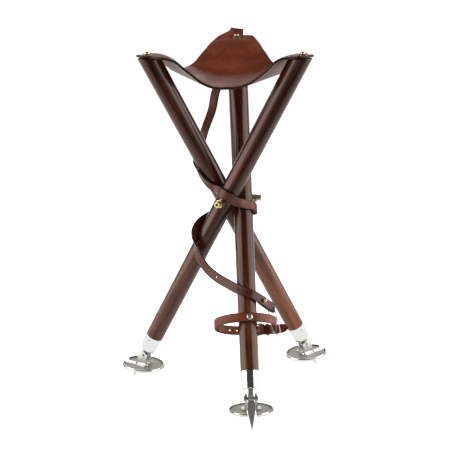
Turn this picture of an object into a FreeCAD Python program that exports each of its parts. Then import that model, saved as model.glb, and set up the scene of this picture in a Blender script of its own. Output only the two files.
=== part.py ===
import FreeCAD, Part
import math
import os
import re
import Sketcher

# A folding tripod hunting stool: three crossed wooden legs on a three-armed bolt, a leather
# sling seat on the leg tops, and a hinged plate with a spike through it at each foot.
# X runs right, Y runs away from the front foot and Z runs up. The origin is the point on
# the ground under the middle of the three-armed bolt. Lengths are millimetres and angles
# are degrees.

# Each leg is named for where its foot stands. A leg's arm of the bolt points outwards at
# this angle, and its foot stands a quarter turn behind its arm.
SIDES = {"front": 0, "rear_right": 120, "rear_left": 240}

SIZES = {
    # Stance: how far a leg leans, how far it passes from the middle, and its two lengths
    # from the bolt, up to the middle of its level top and down to the end of the bare wood
    "splay": 29.3,
    "arm_offset": 20.4,
    "upper_length": 291.5,
    "lower_length": 300.9,
    # Legs
    "leg_top_radius": 17.65,
    "leg_foot_radius": 15.65,
    "leg_edge": 2.0,
    "spigot_radius": 13.0,
    "spigot_length": 25.6,
    "stem_radius": 4.5,
    "stem_length": 21.0,
    # Clearances: a pin in its hole, a glued or driven piece in its seat, a leg or a soft
    # piece from what it lies against
    "pin_play": 0.05,
    "fit_play": 0.05,
    "running_gap": 0.3,
    # Three-armed bolt with its washers and nuts
    "arm_radius": 4.0,
    "spot_depth": 1.6,
    "washer_radius": 7.0,
    "washer_thickness": 1.5,
    "nut_flats": 13.0,
    "nut_base": 6.5,
    "nut_barrel_radius": 5.3,
    "nut_barrel": 8.5,
    "socket_radius": 2.8,
    "socket_depth": 5.0,
    "nut_web": 1.5,
    "nut_chamfer": 0.8,
    # Ferrules and their cross pins
    "spigot_gap": 0.4,
    "ferrule_end_radius": 14.6,
    "ferrule_floor": 4.0,
    "ferrule_edge": 0.8,
    "cross_pin_radius": 1.75,
    "cross_pin_drop": 7.0,
    # Spikes: a flat neck, an eye for the pivot pin and a square point
    "neck_thickness": 7.3,
    "neck_width": 14.0,
    "pivot_drop": 45.5,
    "eye_radius": 8.0,
    "eye_thickness": 9.2,
    "point_width": 12.0,
    "point_drop": 24.3,
    "spike_drop": 51.3,
    "spike_flat": 1.6,
    # Foot plates
    "plate_radius": 38.0,
    "plate_shift": 1.0,
    "plate_depth": 19.0,
    "plate_thickness": 3.0,
    "rim_width": 2.4,
    "rim_rise": 2.5,
    "plate_chamfer": 1.2,
    "slot_width": 15.4,
    "slot_inset": 8.0,
    "plate_hang": 5.0,
    # Ears, pivot pins and their nuts
    "pivot_radius": 3.0,
    "ear_gap": 12.8,
    "ear_thickness": 3.8,
    "ear_radius": 8.5,
    "flange_length": 6.3,
    "flange_thickness": 3.0,
    "ear_fillet": 2.0,
    "pivot_head_radius": 4.6,
    "pivot_head": 2.4,
    # Seat: a leather triangle that sags in the middle and rises to the leg tops
    "leather": 4.0,
    "seat_sag": 52.0,
    "seat_edge": 95.0,
    "seat_tip": 22.0,
    "rise_angle": 43.5,
    "lower_bend": 46.0,
    "upper_bend": 14.0,
    "screw_offset": 3.4,
    "screw_hole": 3.0,
    "screw_radius": 2.25,
    "screw_length": 16.0,
    "screw_head_radius": 4.6,
    "screw_head": 3.0,
    "cup_radius": 8.2,
    "cup_height": 2.4,
    "cup_lip": 1.2,
    # Carrying strap: leather, screwed to the front leg near its top and wound once round the
    # crossing, with its doubled lower end on a ring round the closing belt
    "strap_width": 16.0,
    "strap_thickness": 3.0,
    "strap_gap": 1.0,
    "strap_hole": 1.9,
    "strap_screw_drop": 40.5,
    "strap_screw_turn": -142.0,
    "strap_fold": 23.0,
    "fold_gap": 1.0,
    "trim_screw_radius": 1.75,
    "trim_screw_length": 11.0,
    "strap_head_radius": 4.2,
    "strap_head": 2.4,
    "stud_neck": 1.75,
    "stud_ball": 3.6,
    "stud_base_radius": 5.0,
    "stud_base": 1.4,
    "ring_wire": 0.9,
    "ring_width": 12.6,
    "ring_length": 46.0,
    "ring_hole": 2.5,
    "ring_inset": 5.0,
    "ring_drop": 3.8,
    # Closing belt: leather, screwed to the front leg below the crossing. It runs in a loop
    # that drops a little below square to the leg.
    "belt_width": 16.0,
    "belt_thickness": 2.8,
    "belt_drop": 215.0,
    "belt_droop": 8.0,
    "belt_gap": 1.9,
    "belt_half_span": 52.0,
    "belt_depth": 69.8,
    "belt_shift": 3.0,
    "belt_lap": 1.0,
    "belt_hole": 1.5,
    "belt_screw_turn": -83.0,
    "belt_head_radius": 5.2,
    "belt_head": 2.8,
    # Buckle and keeper
    "buckle_bar": 2.2,
    "buckle_eye": 2.0,
    "buckle_length": 17.5,
    "buckle_play": 0.8,
    "buckle_place": 25.0,
    "tongue_width": 2.4,
    "tongue_eye": 2.0,
    "tongue_thickness": 1.5,
    "tongue_slot": 4.4,
    "tongue_hole": 10.0,
    "keeper_width": 6.0,
    "keeper_wall": 1.5,
    "keeper_place": 11.0,
    "keeper_play": 0.9,
    "keeper_turn": 9.0,
}

doc = FreeCAD.newDocument("tripod_stool")
sheet = doc.addObject("Spreadsheet::Sheet", "sizes")
for row, (alias, size) in enumerate(SIZES.items(), start=1):
    sheet.set(f"A{row}", alias)
    sheet.set(f"B{row}", str(size))
    sheet.setAlias(f"B{row}", alias)
doc.recompute()


def bound(text):
    """An expression with each size's name pointed at its cell."""
    return re.sub(r"[a-z_]+", lambda word: "sizes." + word[0] if word[0] in SIZES else word[0], text)


def value(text):
    """The number that an expression over the sizes gives."""
    return float(sheet.evalExpression(bound(text)))


# Lengths and places that follow from the sizes. Those of a leg are along or across its own
# axis, from the bolt.
FERRULE_LENGTH = "(spigot_length + spigot_gap + ferrule_floor)"
STRAP_AT = "(upper_length - strap_screw_drop)"
TOP_END = "(upper_length + leg_top_radius * tan(splay))"
TAPER = f"((leg_top_radius - leg_foot_radius) / (lower_length + {TOP_END}))"
AXLE_RADIUS = f"(leg_foot_radius + {TAPER} * lower_length)"
SPOT_FACE = f"({AXLE_RADIUS} - spot_depth)"
PIVOT_Z = "(lower_length + pivot_drop)"
SPIKE_Z = f"({PIVOT_Z} + spike_drop)"
HUB_HEIGHT = f"({SPIKE_Z} * cos(splay) + spike_flat / 2 * sin(splay))"
TOP_HEIGHT = f"({HUB_HEIGHT} + upper_length * cos(splay))"
TOP_REACH = "(upper_length * sin(splay))"
CORNER = f"sqrt(arm_offset ^ 2 + {TOP_REACH} ^ 2)"
SEAT_TURN = f"(atan(arm_offset / {TOP_REACH}) / 1 deg)"
WASHER_FACE = f"(arm_offset + {SPOT_FACE} + running_gap)"
NUT_FACE = f"({WASHER_FACE} + washer_thickness)"
NUT_END = f"({NUT_FACE} + nut_base + nut_barrel)"
ARM_END = f"({NUT_END} - socket_depth - nut_web)"
EAR_FACE = "(ear_gap / 2 + ear_thickness)"
SCREW_FACE = "(leather + 2 * running_gap)"
CROSS_Z = "(-lower_length - cross_pin_drop)"
FERRULE_SLOPE = f"((leg_foot_radius - ferrule_end_radius) / {FERRULE_LENGTH})"
CROSS_HALF = f"(leg_foot_radius - {FERRULE_SLOPE} * cross_pin_drop)"

# Places on the belt, in the plane of its loop: the front of the loop, its back, the bar of
# the buckle and the buckle's lean
BELT_WOOD = "(leg_foot_radius + " + TAPER + " * (lower_length - belt_drop))"
BELT_FRONT = f"(-{BELT_WOOD} - belt_gap - belt_thickness / 2)"
BELT_BACK = f"({BELT_FRONT} + belt_depth)"
BAR_Y = f"({BELT_BACK} + belt_lap - 1.5 * belt_thickness - running_gap - buckle_eye)"
OUTER_BAR_Y = f"({BELT_BACK} + belt_lap + belt_thickness / 2 + running_gap + 0.71 * buckle_bar)"
KEEPER_SINK = "(belt_thickness / 2 + running_gap / 2 + 0.9)"
BUCKLE_LEAN = f"(asin(({OUTER_BAR_Y} - {BAR_Y}) / buckle_length) / 1 deg)"

# Where the carrying strap runs. Each row gives the leg that it is nearest to, how far along
# that leg from the bolt its middle is, the bearing of its middle about the leg, how far its
# inner face stands off the wood, and the bearing that its outer face looks along. Bearings
# are taken from the leg's bolt arm.
CONTACT = "strap_gap"
STRAP_ROUTE = [
    ("front", f"{STRAP_AT} + 11", -142, "running_gap", -142),
    ("front", STRAP_AT, -142, "running_gap", -142),
    ("front", f"{STRAP_AT} - 11", -142, "running_gap", -142),
    ("front", f"{STRAP_AT} - 30", -176, "5.6", -137),
    ("front", f"{STRAP_AT} - 50", -179, "18.5", -117),
    ("front", 161, -179, "28.8", -116),
    ("front", 121, -170, "43.9", -121),
    ("rear_right", 91, -23, "14.3", 93),
    ("rear_right", 82, 20, "4", 45),
    ("rear_right", 76, 52, "1.5", 60),
    ("rear_right", 67, 78, CONTACT, 78),
    ("rear_right", 55, 88, CONTACT, 88),
    ("rear_right", 44, 104, CONTACT, 104),
    ("rear_right", 33, 127, CONTACT, 127),
    ("rear_left", 16, -38, CONTACT, -38),
    ("rear_left", 18, -11, "2.2", -11),
    ("rear_left", 19, 25, "2.2", 25),
    ("rear_left", 15, 58, CONTACT, 58),
    ("front", -17, -72, CONTACT, -72),
    ("front", -17, -38, "2.5", -38),
    ("front", -20, -5, "5", -5),
    ("front", -19, 30, "6", 30),
    ("rear_right", -42, -85, "5.3", -75),
    ("rear_right", -35, -20, "4.5", -27),
    ("rear_left", -46, -154, "26.9", -116),
    ("rear_left", -49, -127, "6.9", -99),
    ("rear_left", -60, -89, "3.4", -72),
    ("rear_left", -72, -61, "3.4", -57),
    ("rear_left", -82, -31, "4.6", -50),
    ("rear_left", -92, -1, "7.7", -48),
    ("rear_left", -99, 19, "14.1", -42),
    ("rear_left", -104, 34, "22.6", -30),
    ("rear_left", -108, 48, "37.4", -10),
    ("front", -135, 165, "33.6", -135),
    ("front", -150, -179, "14.1", -120),
    ("front", -164, -132, "3", -105),
    ("front", -170, -93, "2", -93),
    ("front", -174, -63, "3.2", -80),
    ("front", -177, -36, "3.4", -68),
    ("front", -181, -3, "9.6", -59),
    ("front", -186, 14, "20.5", -49),
    ("front", -190, 23, "33.9", -42),
]
# The rows of the route at which a hole or fitting goes through the strap
SCREW_ROW = 1
HOLE_ROWS = (31, 33, 35)
STUD_ROW = 39
BELT_SIDE_ROW = 10


def leg_place(angle):
    """A leg's own frame: the bolt's arm runs along X and the leg runs along Z."""
    return (
        f"placement(vector(arm_offset * cos({angle}); arm_offset * sin({angle}); {HUB_HEIGHT}); "
        f"rotationz({angle}) * rotationx(-splay))"
    )


def hub_place(angle):
    """A bolt arm's frame: the arm runs along X from the middle of the bolt."""
    return f"placement(vector(0; 0; {HUB_HEIGHT}); rotationz({angle}) * rotationx(0))"


def foot_place(angle):
    """A foot's frame: the pivot pin runs along X and the plate hangs below it."""
    return (
        f"placement(vector(arm_offset * cos({angle}) + {PIVOT_Z} * sin(splay) * sin({angle}); "
        f"arm_offset * sin({angle}) - {PIVOT_Z} * sin(splay) * cos({angle}); "
        f"{HUB_HEIGHT} - {PIVOT_Z} * cos(splay)); rotationz({angle}) * rotationx(-plate_hang))"
    )


def top_place(angle):
    """A leg top's frame: the seat screw stands along Z and X points away from the middle."""
    turn = f"({angle} + 90 - {SEAT_TURN})"
    reach = f"({CORNER} + screw_offset)"
    return (
        f"placement(vector({reach} * cos({turn}); {reach} * sin({turn}); {TOP_HEIGHT}); "
        f"rotationz({turn}) * rotationx(0))"
    )


# The trim screws' frames within the front leg's frame: each screw stands along Z, and its
# origin is where it leaves the wood
STRAP_WOOD = f"(leg_foot_radius + {TAPER} * (lower_length + {STRAP_AT}))"
STRAP_SCREW = (
    f"placement(vector({STRAP_WOOD} * cos(strap_screw_turn); {STRAP_WOOD} * sin(strap_screw_turn); "
    f"{STRAP_AT}); rotationz(strap_screw_turn) * rotationy(90))"
)
BELT_PLANE = "placement(vector(0; 0; -belt_drop); rotationx(-belt_droop))"
BELT_SCREW = (
    f"{BELT_PLANE} * placement(vector({BELT_WOOD} * cos(belt_screw_turn); "
    f"{BELT_WOOD} * sin(belt_screw_turn); 0); rotationz(belt_screw_turn) * rotationy(90))"
)


def belt_place(x, y, turn):
    """A frame on the belt's loop: Z stands across the belt and X is turned from the stool's."""
    spot = f"placement(vector({x}; {y}; 0); rotationz({turn}))"
    return f"{leg_place(SIDES['front'])} * {BELT_PLANE} * {spot}"


def new_body(name, place):
    """A PartDesign body that stands in the given frame."""
    body = doc.addObject("PartDesign::Body", name)
    body.Label = name
    body.setExpression("Placement", bound(place))
    return body


def new_sketch(body, name, role, lift="0"):
    """A sketch on one of the body's own origin planes, lifted along that plane's normal."""
    sketch = body.newObject("Sketcher::SketchObject", f"{body.Name}_{name}")
    plane = next(item for item in body.Origin.OriginFeatures if item.Role == role)
    sketch.AttachmentSupport = [(plane, "")]
    sketch.MapMode = "FlatFace"
    sketch.setExpression("AttachmentOffset.Base.z", bound(lift))
    return sketch


def hold_point(sketch, line, end, x, y):
    """Holds one end of a sketch's line at a place given by two expressions."""
    for kind, text in (("DistanceX", x), ("DistanceY", y)):
        index = sketch.addConstraint(Sketcher.Constraint(kind, -1, 1, line, end, value(text)))
        sketch.setExpression(f"Constraints[{index}]", bound(text))


def draw_outline(sketch, points):
    """A closed outline of straight lines through points given by expressions."""
    corners = [FreeCAD.Vector(value(x), value(y), 0) for x, y in points]
    first = sketch.GeometryCount
    count = len(points)
    for start, end in zip(corners, corners[1:] + corners[:1]):
        sketch.addGeometry(Part.LineSegment(start, end), False)
    for index in range(count):
        after = first + (index + 1) % count
        sketch.addConstraint(Sketcher.Constraint("Coincident", first + index, 2, after, 1))
    for index, (x, y) in enumerate(points):
        hold_point(sketch, first + index, 1, x, y)
    return sketch


def draw_circle(sketch, radius, x="0", y="0"):
    """A circle whose radius and middle are given by expressions."""
    middle = FreeCAD.Vector(value(x), value(y), 0)
    circle = Part.Circle(middle, FreeCAD.Vector(0, 0, 1), value(radius))
    line = sketch.addGeometry(circle, False)
    index = sketch.addConstraint(Sketcher.Constraint("Radius", line, value(radius)))
    sketch.setExpression(f"Constraints[{index}]", bound(radius))
    hold_point(sketch, line, 3, x, y)
    return sketch


def rectangle(left, right, low, high):
    """The four corners of a rectangle, as expressions."""
    return [(left, low), (right, low), (right, high), (left, high)]


def pad(body, sketch, length, symmetric=False, reverse=False):
    """Material from a sketch, along its normal or to both sides of it."""
    feature = body.newObject("PartDesign::Pad", f"{sketch.Name}_pad")
    feature.Profile = sketch
    feature.SideType = "Symmetric" if symmetric else "One side"
    feature.Reversed = reverse
    feature.setExpression("Length", bound(length))
    return feature


def pocket(body, sketch, length=None, reverse=False):
    """A cut from a sketch: right through to both sides, or to a depth against its normal."""
    feature = body.newObject("PartDesign::Pocket", f"{sketch.Name}_cut")
    feature.Profile = sketch
    if length is None:
        feature.Type = "ThroughAll"
        feature.SideType = "Symmetric"
    else:
        feature.Reversed = reverse
        feature.setExpression("Length", bound(length))
    return feature


def revolve(body, sketch):
    """A full turn of a sketch about its own upright axis."""
    feature = body.newObject("PartDesign::Revolution", f"{sketch.Name}_turned")
    feature.Profile = sketch
    feature.ReferenceAxis = (sketch, ["V_Axis"])
    feature.Angle = 360
    return feature


def ease_edges(body, kind, size, test):
    """A chamfer or fillet on those edges of the body's last shape that pass a test."""
    doc.recompute()
    base = body.Tip
    names = [f"Edge{n}" for n, edge in enumerate(base.Shape.Edges, start=1) if test(edge)]
    feature = body.newObject(f"PartDesign::{kind}", f"{body.Name}_{kind.lower()}_{len(body.Group)}")
    feature.Base = (base, names)
    feature.setExpression("Size" if kind == "Chamfer" else "Radius", bound(size))
    return feature


def is_round(edge, radius, height=None, axis="z"):
    """Whether an edge is a circle of this radius whose middle stands at this height."""
    curve = edge.Curve
    if not isinstance(curve, Part.Circle) or abs(curve.Radius - value(radius)) > 1e-3:
        return False
    return height is None or abs(getattr(curve.Center, axis) - value(height)) < 1e-3


def make_leg(side, angle):
    """A tapered wooden leg: bolt hole, spot face, level top and a spigot for the ferrule."""
    body = new_body(f"leg_{side}", leg_place(angle))
    profile = new_sketch(body, "profile", "XZ_Plane")
    draw_outline(profile, [
        ("0", "-lower_length - spigot_length"),
        ("spigot_radius", "-lower_length - spigot_length"),
        ("spigot_radius", "-lower_length"),
        ("leg_foot_radius", "-lower_length"),
        ("leg_top_radius", TOP_END),
        ("0", TOP_END),
    ])
    revolve(body, profile)
    above = f"{TOP_END} + leg_top_radius"
    level = new_sketch(body, "level_top", "YZ_Plane")
    draw_outline(level, [
        ("-2 * leg_top_radius", "upper_length - 2 * leg_top_radius * tan(splay)"),
        ("2 * leg_top_radius", "upper_length + 2 * leg_top_radius * tan(splay)"),
        ("2 * leg_top_radius", above),
        ("-2 * leg_top_radius", above),
    ])
    pocket(body, level)
    ease_edges(body, "Fillet", "leg_edge", lambda edge: isinstance(edge.Curve, Part.Ellipse))
    pocket(body, draw_circle(new_sketch(body, "bolt_hole", "YZ_Plane"), "arm_radius + pin_play"))
    face = draw_circle(
        new_sketch(body, "spot_face", "YZ_Plane", SPOT_FACE), "washer_radius + running_gap"
    )
    pocket(body, face, "leg_top_radius", reverse=True)
    stem = new_sketch(body, "stem_hole", "XY_Plane", "-lower_length - spigot_length")
    pocket(body, draw_circle(stem, "stem_radius + fit_play"), "stem_length", reverse=True)
    cross = new_sketch(body, "cross_hole", "YZ_Plane")
    pocket(body, draw_circle(cross, "cross_pin_radius + fit_play", "0", CROSS_Z))
    screw = new_sketch(body, "screw_hole", "XY_Plane")
    across = f"screw_offset * sin({SEAT_TURN})"
    outward = f"screw_offset * cos({SEAT_TURN})"
    screw.setExpression("AttachmentOffset", bound(
        f"placement(vector({across}; {outward} * cos(splay); upper_length + {outward} * sin(splay)); "
        "rotationx(splay))"
    ))
    pocket(body, draw_circle(screw, "screw_radius"), "screw_length + running_gap")
    if side == "front":
        for name, place in (("strap_screw_hole", STRAP_SCREW), ("belt_screw_hole", BELT_SCREW)):
            hole = body.newObject("PartDesign::SubtractiveCylinder", name)
            hole.setExpression("Placement", bound(f"{place} * placement(vector(0; 0; "
                                                  "-trim_screw_length - running_gap); rotationz(0))"))
            hole.setExpression("Radius", "sizes.trim_screw_radius")
            hole.setExpression("Height", bound("2 * trim_screw_length"))
    return body


def make_ferrule(side, angle):
    """A metal cup over the leg's spigot, with a slot in its floor for the spike's neck."""
    body = new_body(f"ferrule_{side}", leg_place(angle))
    floor = f"-lower_length - {FERRULE_LENGTH}"
    profile = new_sketch(body, "profile", "XZ_Plane")
    draw_outline(profile, [
        ("spigot_radius + fit_play", "-lower_length"),
        ("leg_foot_radius", "-lower_length"),
        ("ferrule_end_radius", floor),
        ("0", floor),
        ("0", f"{floor} + ferrule_floor"),
        ("spigot_radius + fit_play", f"{floor} + ferrule_floor"),
    ])
    revolve(body, profile)
    ease_edges(body, "Chamfer", "ferrule_edge", lambda edge: is_round(edge, "ferrule_end_radius", None))
    half_x = "(neck_thickness / 2 + fit_play)"
    half_y = "(neck_width / 2 + fit_play)"
    slot = new_sketch(body, "neck_slot", "XY_Plane", floor)
    draw_outline(slot, rectangle(f"-{half_x}", half_x, f"-{half_y}", half_y))
    pocket(body, slot, "ferrule_floor", reverse=True)
    cross = new_sketch(body, "cross_hole", "YZ_Plane")
    pocket(body, draw_circle(cross, "cross_pin_radius + fit_play", "0", CROSS_Z))
    return body


def make_cross_pin(side, angle):
    """The pin through ferrule, spigot and the spike's stem."""
    body = new_body(f"ferrule_pin_{side}", leg_place(angle))
    sketch = new_sketch(body, "round", "YZ_Plane")
    pad(body, draw_circle(sketch, "cross_pin_radius", "0", CROSS_Z), f"2 * {CROSS_HALF}", symmetric=True)
    return body


def make_spike(side, angle):
    """The forged spike: round stem, flat neck, eye for the pivot pin and a square point."""
    body = new_body(f"spike_{side}", leg_place(angle))
    shoulder = "-lower_length - spigot_length"
    levels = [
        ("shoulder", shoulder, "neck_thickness", "neck_width"),
        ("collar", f"-lower_length - {FERRULE_LENGTH}", "neck_thickness", "neck_width"),
        ("pivot", f"-{PIVOT_Z}", "eye_thickness", "neck_width"),
        ("base", f"-{PIVOT_Z} - point_drop", "point_width", "point_width"),
        ("tip", f"-{SPIKE_Z}", "spike_flat", "spike_flat"),
    ]
    sections = []
    for name, height, thick, wide in levels:
        section = new_sketch(body, name, "XY_Plane", height)
        sections.append(draw_outline(section, rectangle(
            f"-{thick} / 2", f"{thick} / 2", f"-{wide} / 2", f"{wide} / 2"
        )))
    loft = body.newObject("PartDesign::AdditiveLoft", f"spike_{side}_blade")
    loft.Profile = sections[0]
    loft.Sections = sections[1:]
    loft.Ruled = True
    eye = new_sketch(body, "eye", "YZ_Plane")
    pad(body, draw_circle(eye, "eye_radius", "0", f"-{PIVOT_Z}"), "eye_thickness", symmetric=True)
    stem = draw_circle(new_sketch(body, "stem", "XY_Plane", shoulder), "stem_radius")
    pad(body, stem, "stem_length - running_gap")
    hole = new_sketch(body, "pivot_hole", "YZ_Plane")
    pocket(body, draw_circle(hole, "pivot_radius + pin_play", "0", f"-{PIVOT_Z}"))
    cross = new_sketch(body, "cross_hole", "YZ_Plane")
    pocket(body, draw_circle(cross, "cross_pin_radius + fit_play", "0", CROSS_Z))
    return body


def make_foot_plate(side, angle):
    """A round dished plate with a raised rim and a slot that lets the spike swing outwards."""
    body = new_body(f"foot_plate_{side}", foot_place(angle))
    sole = "-plate_depth - plate_thickness"
    middle = "-plate_shift"
    disc = draw_circle(new_sketch(body, "disc", "XY_Plane", sole), "plate_radius", "0", middle)
    pad(body, disc, "plate_thickness + rim_rise")
    dish = new_sketch(body, "dish", "XY_Plane", "-plate_depth")
    pocket(body, draw_circle(dish, "plate_radius - rim_width", "0", middle), "rim_rise", reverse=True)
    ease_edges(body, "Chamfer", "plate_chamfer", lambda edge: is_round(edge, "plate_radius"))
    slot = new_sketch(body, "slot", "XY_Plane")
    draw_outline(slot, rectangle(
        "-slot_width / 2", "slot_width / 2", "-2 * plate_radius", "slot_inset - slot_width / 2"
    ))
    pocket(body, slot)
    round_end = new_sketch(body, "slot_end", "XY_Plane")
    pocket(body, draw_circle(round_end, "slot_width / 2", "0", "slot_inset - slot_width / 2"))
    return body


def make_foot_ear(side, angle, hand, sign):
    """One of the two bent ears on the plate, with its foot flange and a hole for the pivot pin."""
    body = new_body(f"foot_ear_{hand}_{side}", foot_place(angle))
    middle = f"{sign} * (ear_gap + ear_thickness) / 2"
    cheek = new_sketch(body, "cheek", "YZ_Plane", middle)
    draw_outline(cheek, rectangle("-ear_radius", "ear_radius", "-plate_depth", "0"))
    pad(body, cheek, "ear_thickness", symmetric=True)
    crown = new_sketch(body, "crown", "YZ_Plane", middle)
    pad(body, draw_circle(crown, "ear_radius"), "ear_thickness", symmetric=True)
    flange = new_sketch(body, "flange", "XY_Plane", "-plate_depth")
    sides = [f"{sign} * ear_gap / 2", f"{sign} * ({EAR_FACE} + flange_length)"]
    draw_outline(flange, rectangle(*sides[::sign], "-ear_radius", "ear_radius"))
    pad(body, flange, "flange_thickness")
    corner = sign * value(EAR_FACE)
    height = value("flange_thickness - plate_depth")
    ease_edges(body, "Fillet", "ear_fillet", lambda edge: all(
        abs(vertex.X - corner) < 1e-3 and abs(vertex.Z - height) < 1e-3 for vertex in edge.Vertexes
    ))
    hole = new_sketch(body, "pivot_hole", "YZ_Plane")
    pocket(body, draw_circle(hole, "pivot_radius + fit_play"))
    return body


def make_head_ear(side, angle):
    """The ear under the pivot pin's head."""
    return make_foot_ear(side, angle, "head", 1)


def make_nut_ear(side, angle):
    """The ear under the pivot pin's nut."""
    return make_foot_ear(side, angle, "nut", -1)


def make_pivot_pin(side, angle):
    """The headed pin through both ears and the spike's eye."""
    body = new_body(f"pivot_pin_{side}", foot_place(angle))
    start = f"-{EAR_FACE} - pivot_head"
    shank = draw_circle(new_sketch(body, "shank", "YZ_Plane", start), "pivot_radius")
    pad(body, shank, f"2 * {EAR_FACE} + pivot_head")
    head = draw_circle(new_sketch(body, "head", "YZ_Plane", EAR_FACE), "pivot_head_radius")
    pad(body, head, "pivot_head")
    outer = f"{EAR_FACE} + pivot_head"
    ease_edges(body, "Fillet", "pivot_head / 2", lambda edge: is_round(
        edge, "pivot_head_radius", outer, "x"
    ))
    return body


def make_pivot_nut(side, angle):
    """The round nut on the pivot pin's plain end."""
    body = new_body(f"pivot_nut_{side}", foot_place(angle))
    start = f"-{EAR_FACE} - pivot_head"
    ring = draw_circle(new_sketch(body, "ring", "YZ_Plane", start), "pivot_head_radius")
    pad(body, ring, "pivot_head")
    ease_edges(body, "Fillet", "pivot_head / 2", lambda edge: is_round(
        edge, "pivot_head_radius", start, "x"
    ))
    pocket(body, draw_circle(new_sketch(body, "bore", "YZ_Plane"), "pivot_radius + fit_play"))
    return body


def make_hub_bolt():
    """The three-armed bolt that the legs turn on."""
    body = new_body("hub_bolt", hub_place(0))
    arm = draw_circle(new_sketch(body, "arm", "YZ_Plane"), "arm_radius")
    bar = pad(body, arm, ARM_END)
    doc.recompute()
    star = body.newObject("PartDesign::PolarPattern", "hub_bolt_arms")
    star.Originals = [bar]
    star.Axis = (next(item for item in body.Origin.OriginFeatures if item.Role == "Z_Axis"), [""])
    star.Angle = 360
    star.Occurrences = len(SIDES)
    body.Tip = star
    return body


def make_hub_washer(side, angle):
    """A brass washer between a leg's spot face and its nut."""
    body = new_body(f"hub_washer_{side}", hub_place(angle))
    ring = draw_circle(new_sketch(body, "ring", "YZ_Plane", WASHER_FACE), "washer_radius")
    draw_circle(ring, "arm_radius + fit_play")
    pad(body, ring, "washer_thickness")
    return body


def make_hub_nut(side, angle):
    """A brass cap nut: hexagon base, round barrel and a key socket in its end."""
    body = new_body(f"hub_nut_{side}", hub_place(angle))
    corner = "nut_flats / 2 / cos(30)"
    hexagon = new_sketch(body, "hexagon", "YZ_Plane", NUT_FACE)
    draw_outline(hexagon, [
        (f"{corner} * cos({60 * n})", f"{corner} * sin({60 * n})") for n in range(6)
    ])
    pad(body, hexagon, "nut_base")
    barrel = new_sketch(body, "barrel", "YZ_Plane", f"{NUT_FACE} + nut_base")
    pad(body, draw_circle(barrel, "nut_barrel_radius"), "nut_barrel")
    ease_edges(body, "Chamfer", "nut_chamfer", lambda edge: is_round(
        edge, "nut_barrel_radius", NUT_END, "x"
    ))
    bore = draw_circle(new_sketch(body, "bore", "YZ_Plane", NUT_FACE), "arm_radius + fit_play")
    pocket(body, bore, f"{ARM_END} + fit_play - {NUT_FACE}", reverse=True)
    socket = draw_circle(new_sketch(body, "socket", "YZ_Plane", NUT_END), "socket_radius")
    pocket(body, socket, "socket_depth")
    return body


def make_seat_screw(side, angle):
    """A brass round-head screw that holds a corner of the seat to its leg."""
    body = new_body(f"seat_screw_{side}", top_place(angle))
    shank = draw_circle(new_sketch(body, "shank", "XY_Plane", "-screw_length"), "screw_radius")
    under = f"{SCREW_FACE} + cup_height"
    pad(body, shank, f"screw_length + {under}")
    head = draw_circle(new_sketch(body, "head", "XY_Plane", under), "screw_head_radius")
    pad(body, head, "screw_head")
    ease_edges(body, "Fillet", "0.85 * screw_head", lambda edge: is_round(
        edge, "screw_head_radius", f"{under} + screw_head"
    ))
    return body


def make_cup_washer(side, angle):
    """The dished brass washer under a seat screw's head."""
    body = new_body(f"cup_washer_{side}", top_place(angle))
    profile = new_sketch(body, "profile", "XZ_Plane")
    top = f"{SCREW_FACE} + cup_height"
    draw_outline(profile, [
        ("screw_radius + fit_play", SCREW_FACE),
        ("cup_radius", SCREW_FACE),
        ("cup_radius", f"{SCREW_FACE} + cup_lip / 2"),
        ("screw_head_radius + cup_lip", top),
        ("screw_radius + fit_play", top),
    ])
    revolve(body, profile)
    return body


def seat_section():
    """The leather's outline along one wing: level, a bend up, a straight rise and a bend out."""
    low = value(f"{TOP_HEIGHT} + running_gap - seat_sag")
    thick = value("leather")
    rise = math.radians(value("rise_angle"))
    inner = value("lower_bend")
    outer = value("upper_bend")
    start = value("seat_edge / 2")
    climb = value("seat_sag") - (inner + outer) * (1 - math.cos(rise))
    run = climb / math.tan(rise)
    end = start + (inner + outer) * math.sin(rise) + run
    lower_middle = FreeCAD.Vector(start, 0, low + inner)
    upper_middle = FreeCAD.Vector(end, 0, low + value("seat_sag") - outer)
    tip = value(f"{CORNER} + seat_tip")

    def side_of_leather(offset):
        """One face's edges, from the middle of the seat to the tip of the wing."""
        def bend(middle, radius, sign):
            angles = (0, rise / 2, rise) if sign < 0 else (rise, rise / 2, 0)
            points = [
                middle + FreeCAD.Vector(-sign * math.sin(a), 0, sign * math.cos(a)) * radius
                for a in angles
            ]
            return Part.Arc(*points).toShape(), points[0], points[2]

        first, first_start, first_end = bend(lower_middle, inner - offset, -1)
        second, second_start, second_end = bend(upper_middle, outer + offset, 1)
        near = FreeCAD.Vector(0, 0, low + offset)
        far = FreeCAD.Vector(tip, 0, second_end.z)
        edges = [
            Part.makeLine(near, first_start),
            first,
            Part.makeLine(first_end, second_start),
            second,
            Part.makeLine(second_end, far),
        ]
        return near, edges, far

    near_low, under, far_low = side_of_leather(0)
    near_top, over, far_top = side_of_leather(thick)
    ends = [Part.makeLine(far_low, far_top), Part.makeLine(near_top, near_low)]
    return Part.Face(Part.Wire(Part.__sortEdges__(under + over + ends)))


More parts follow.
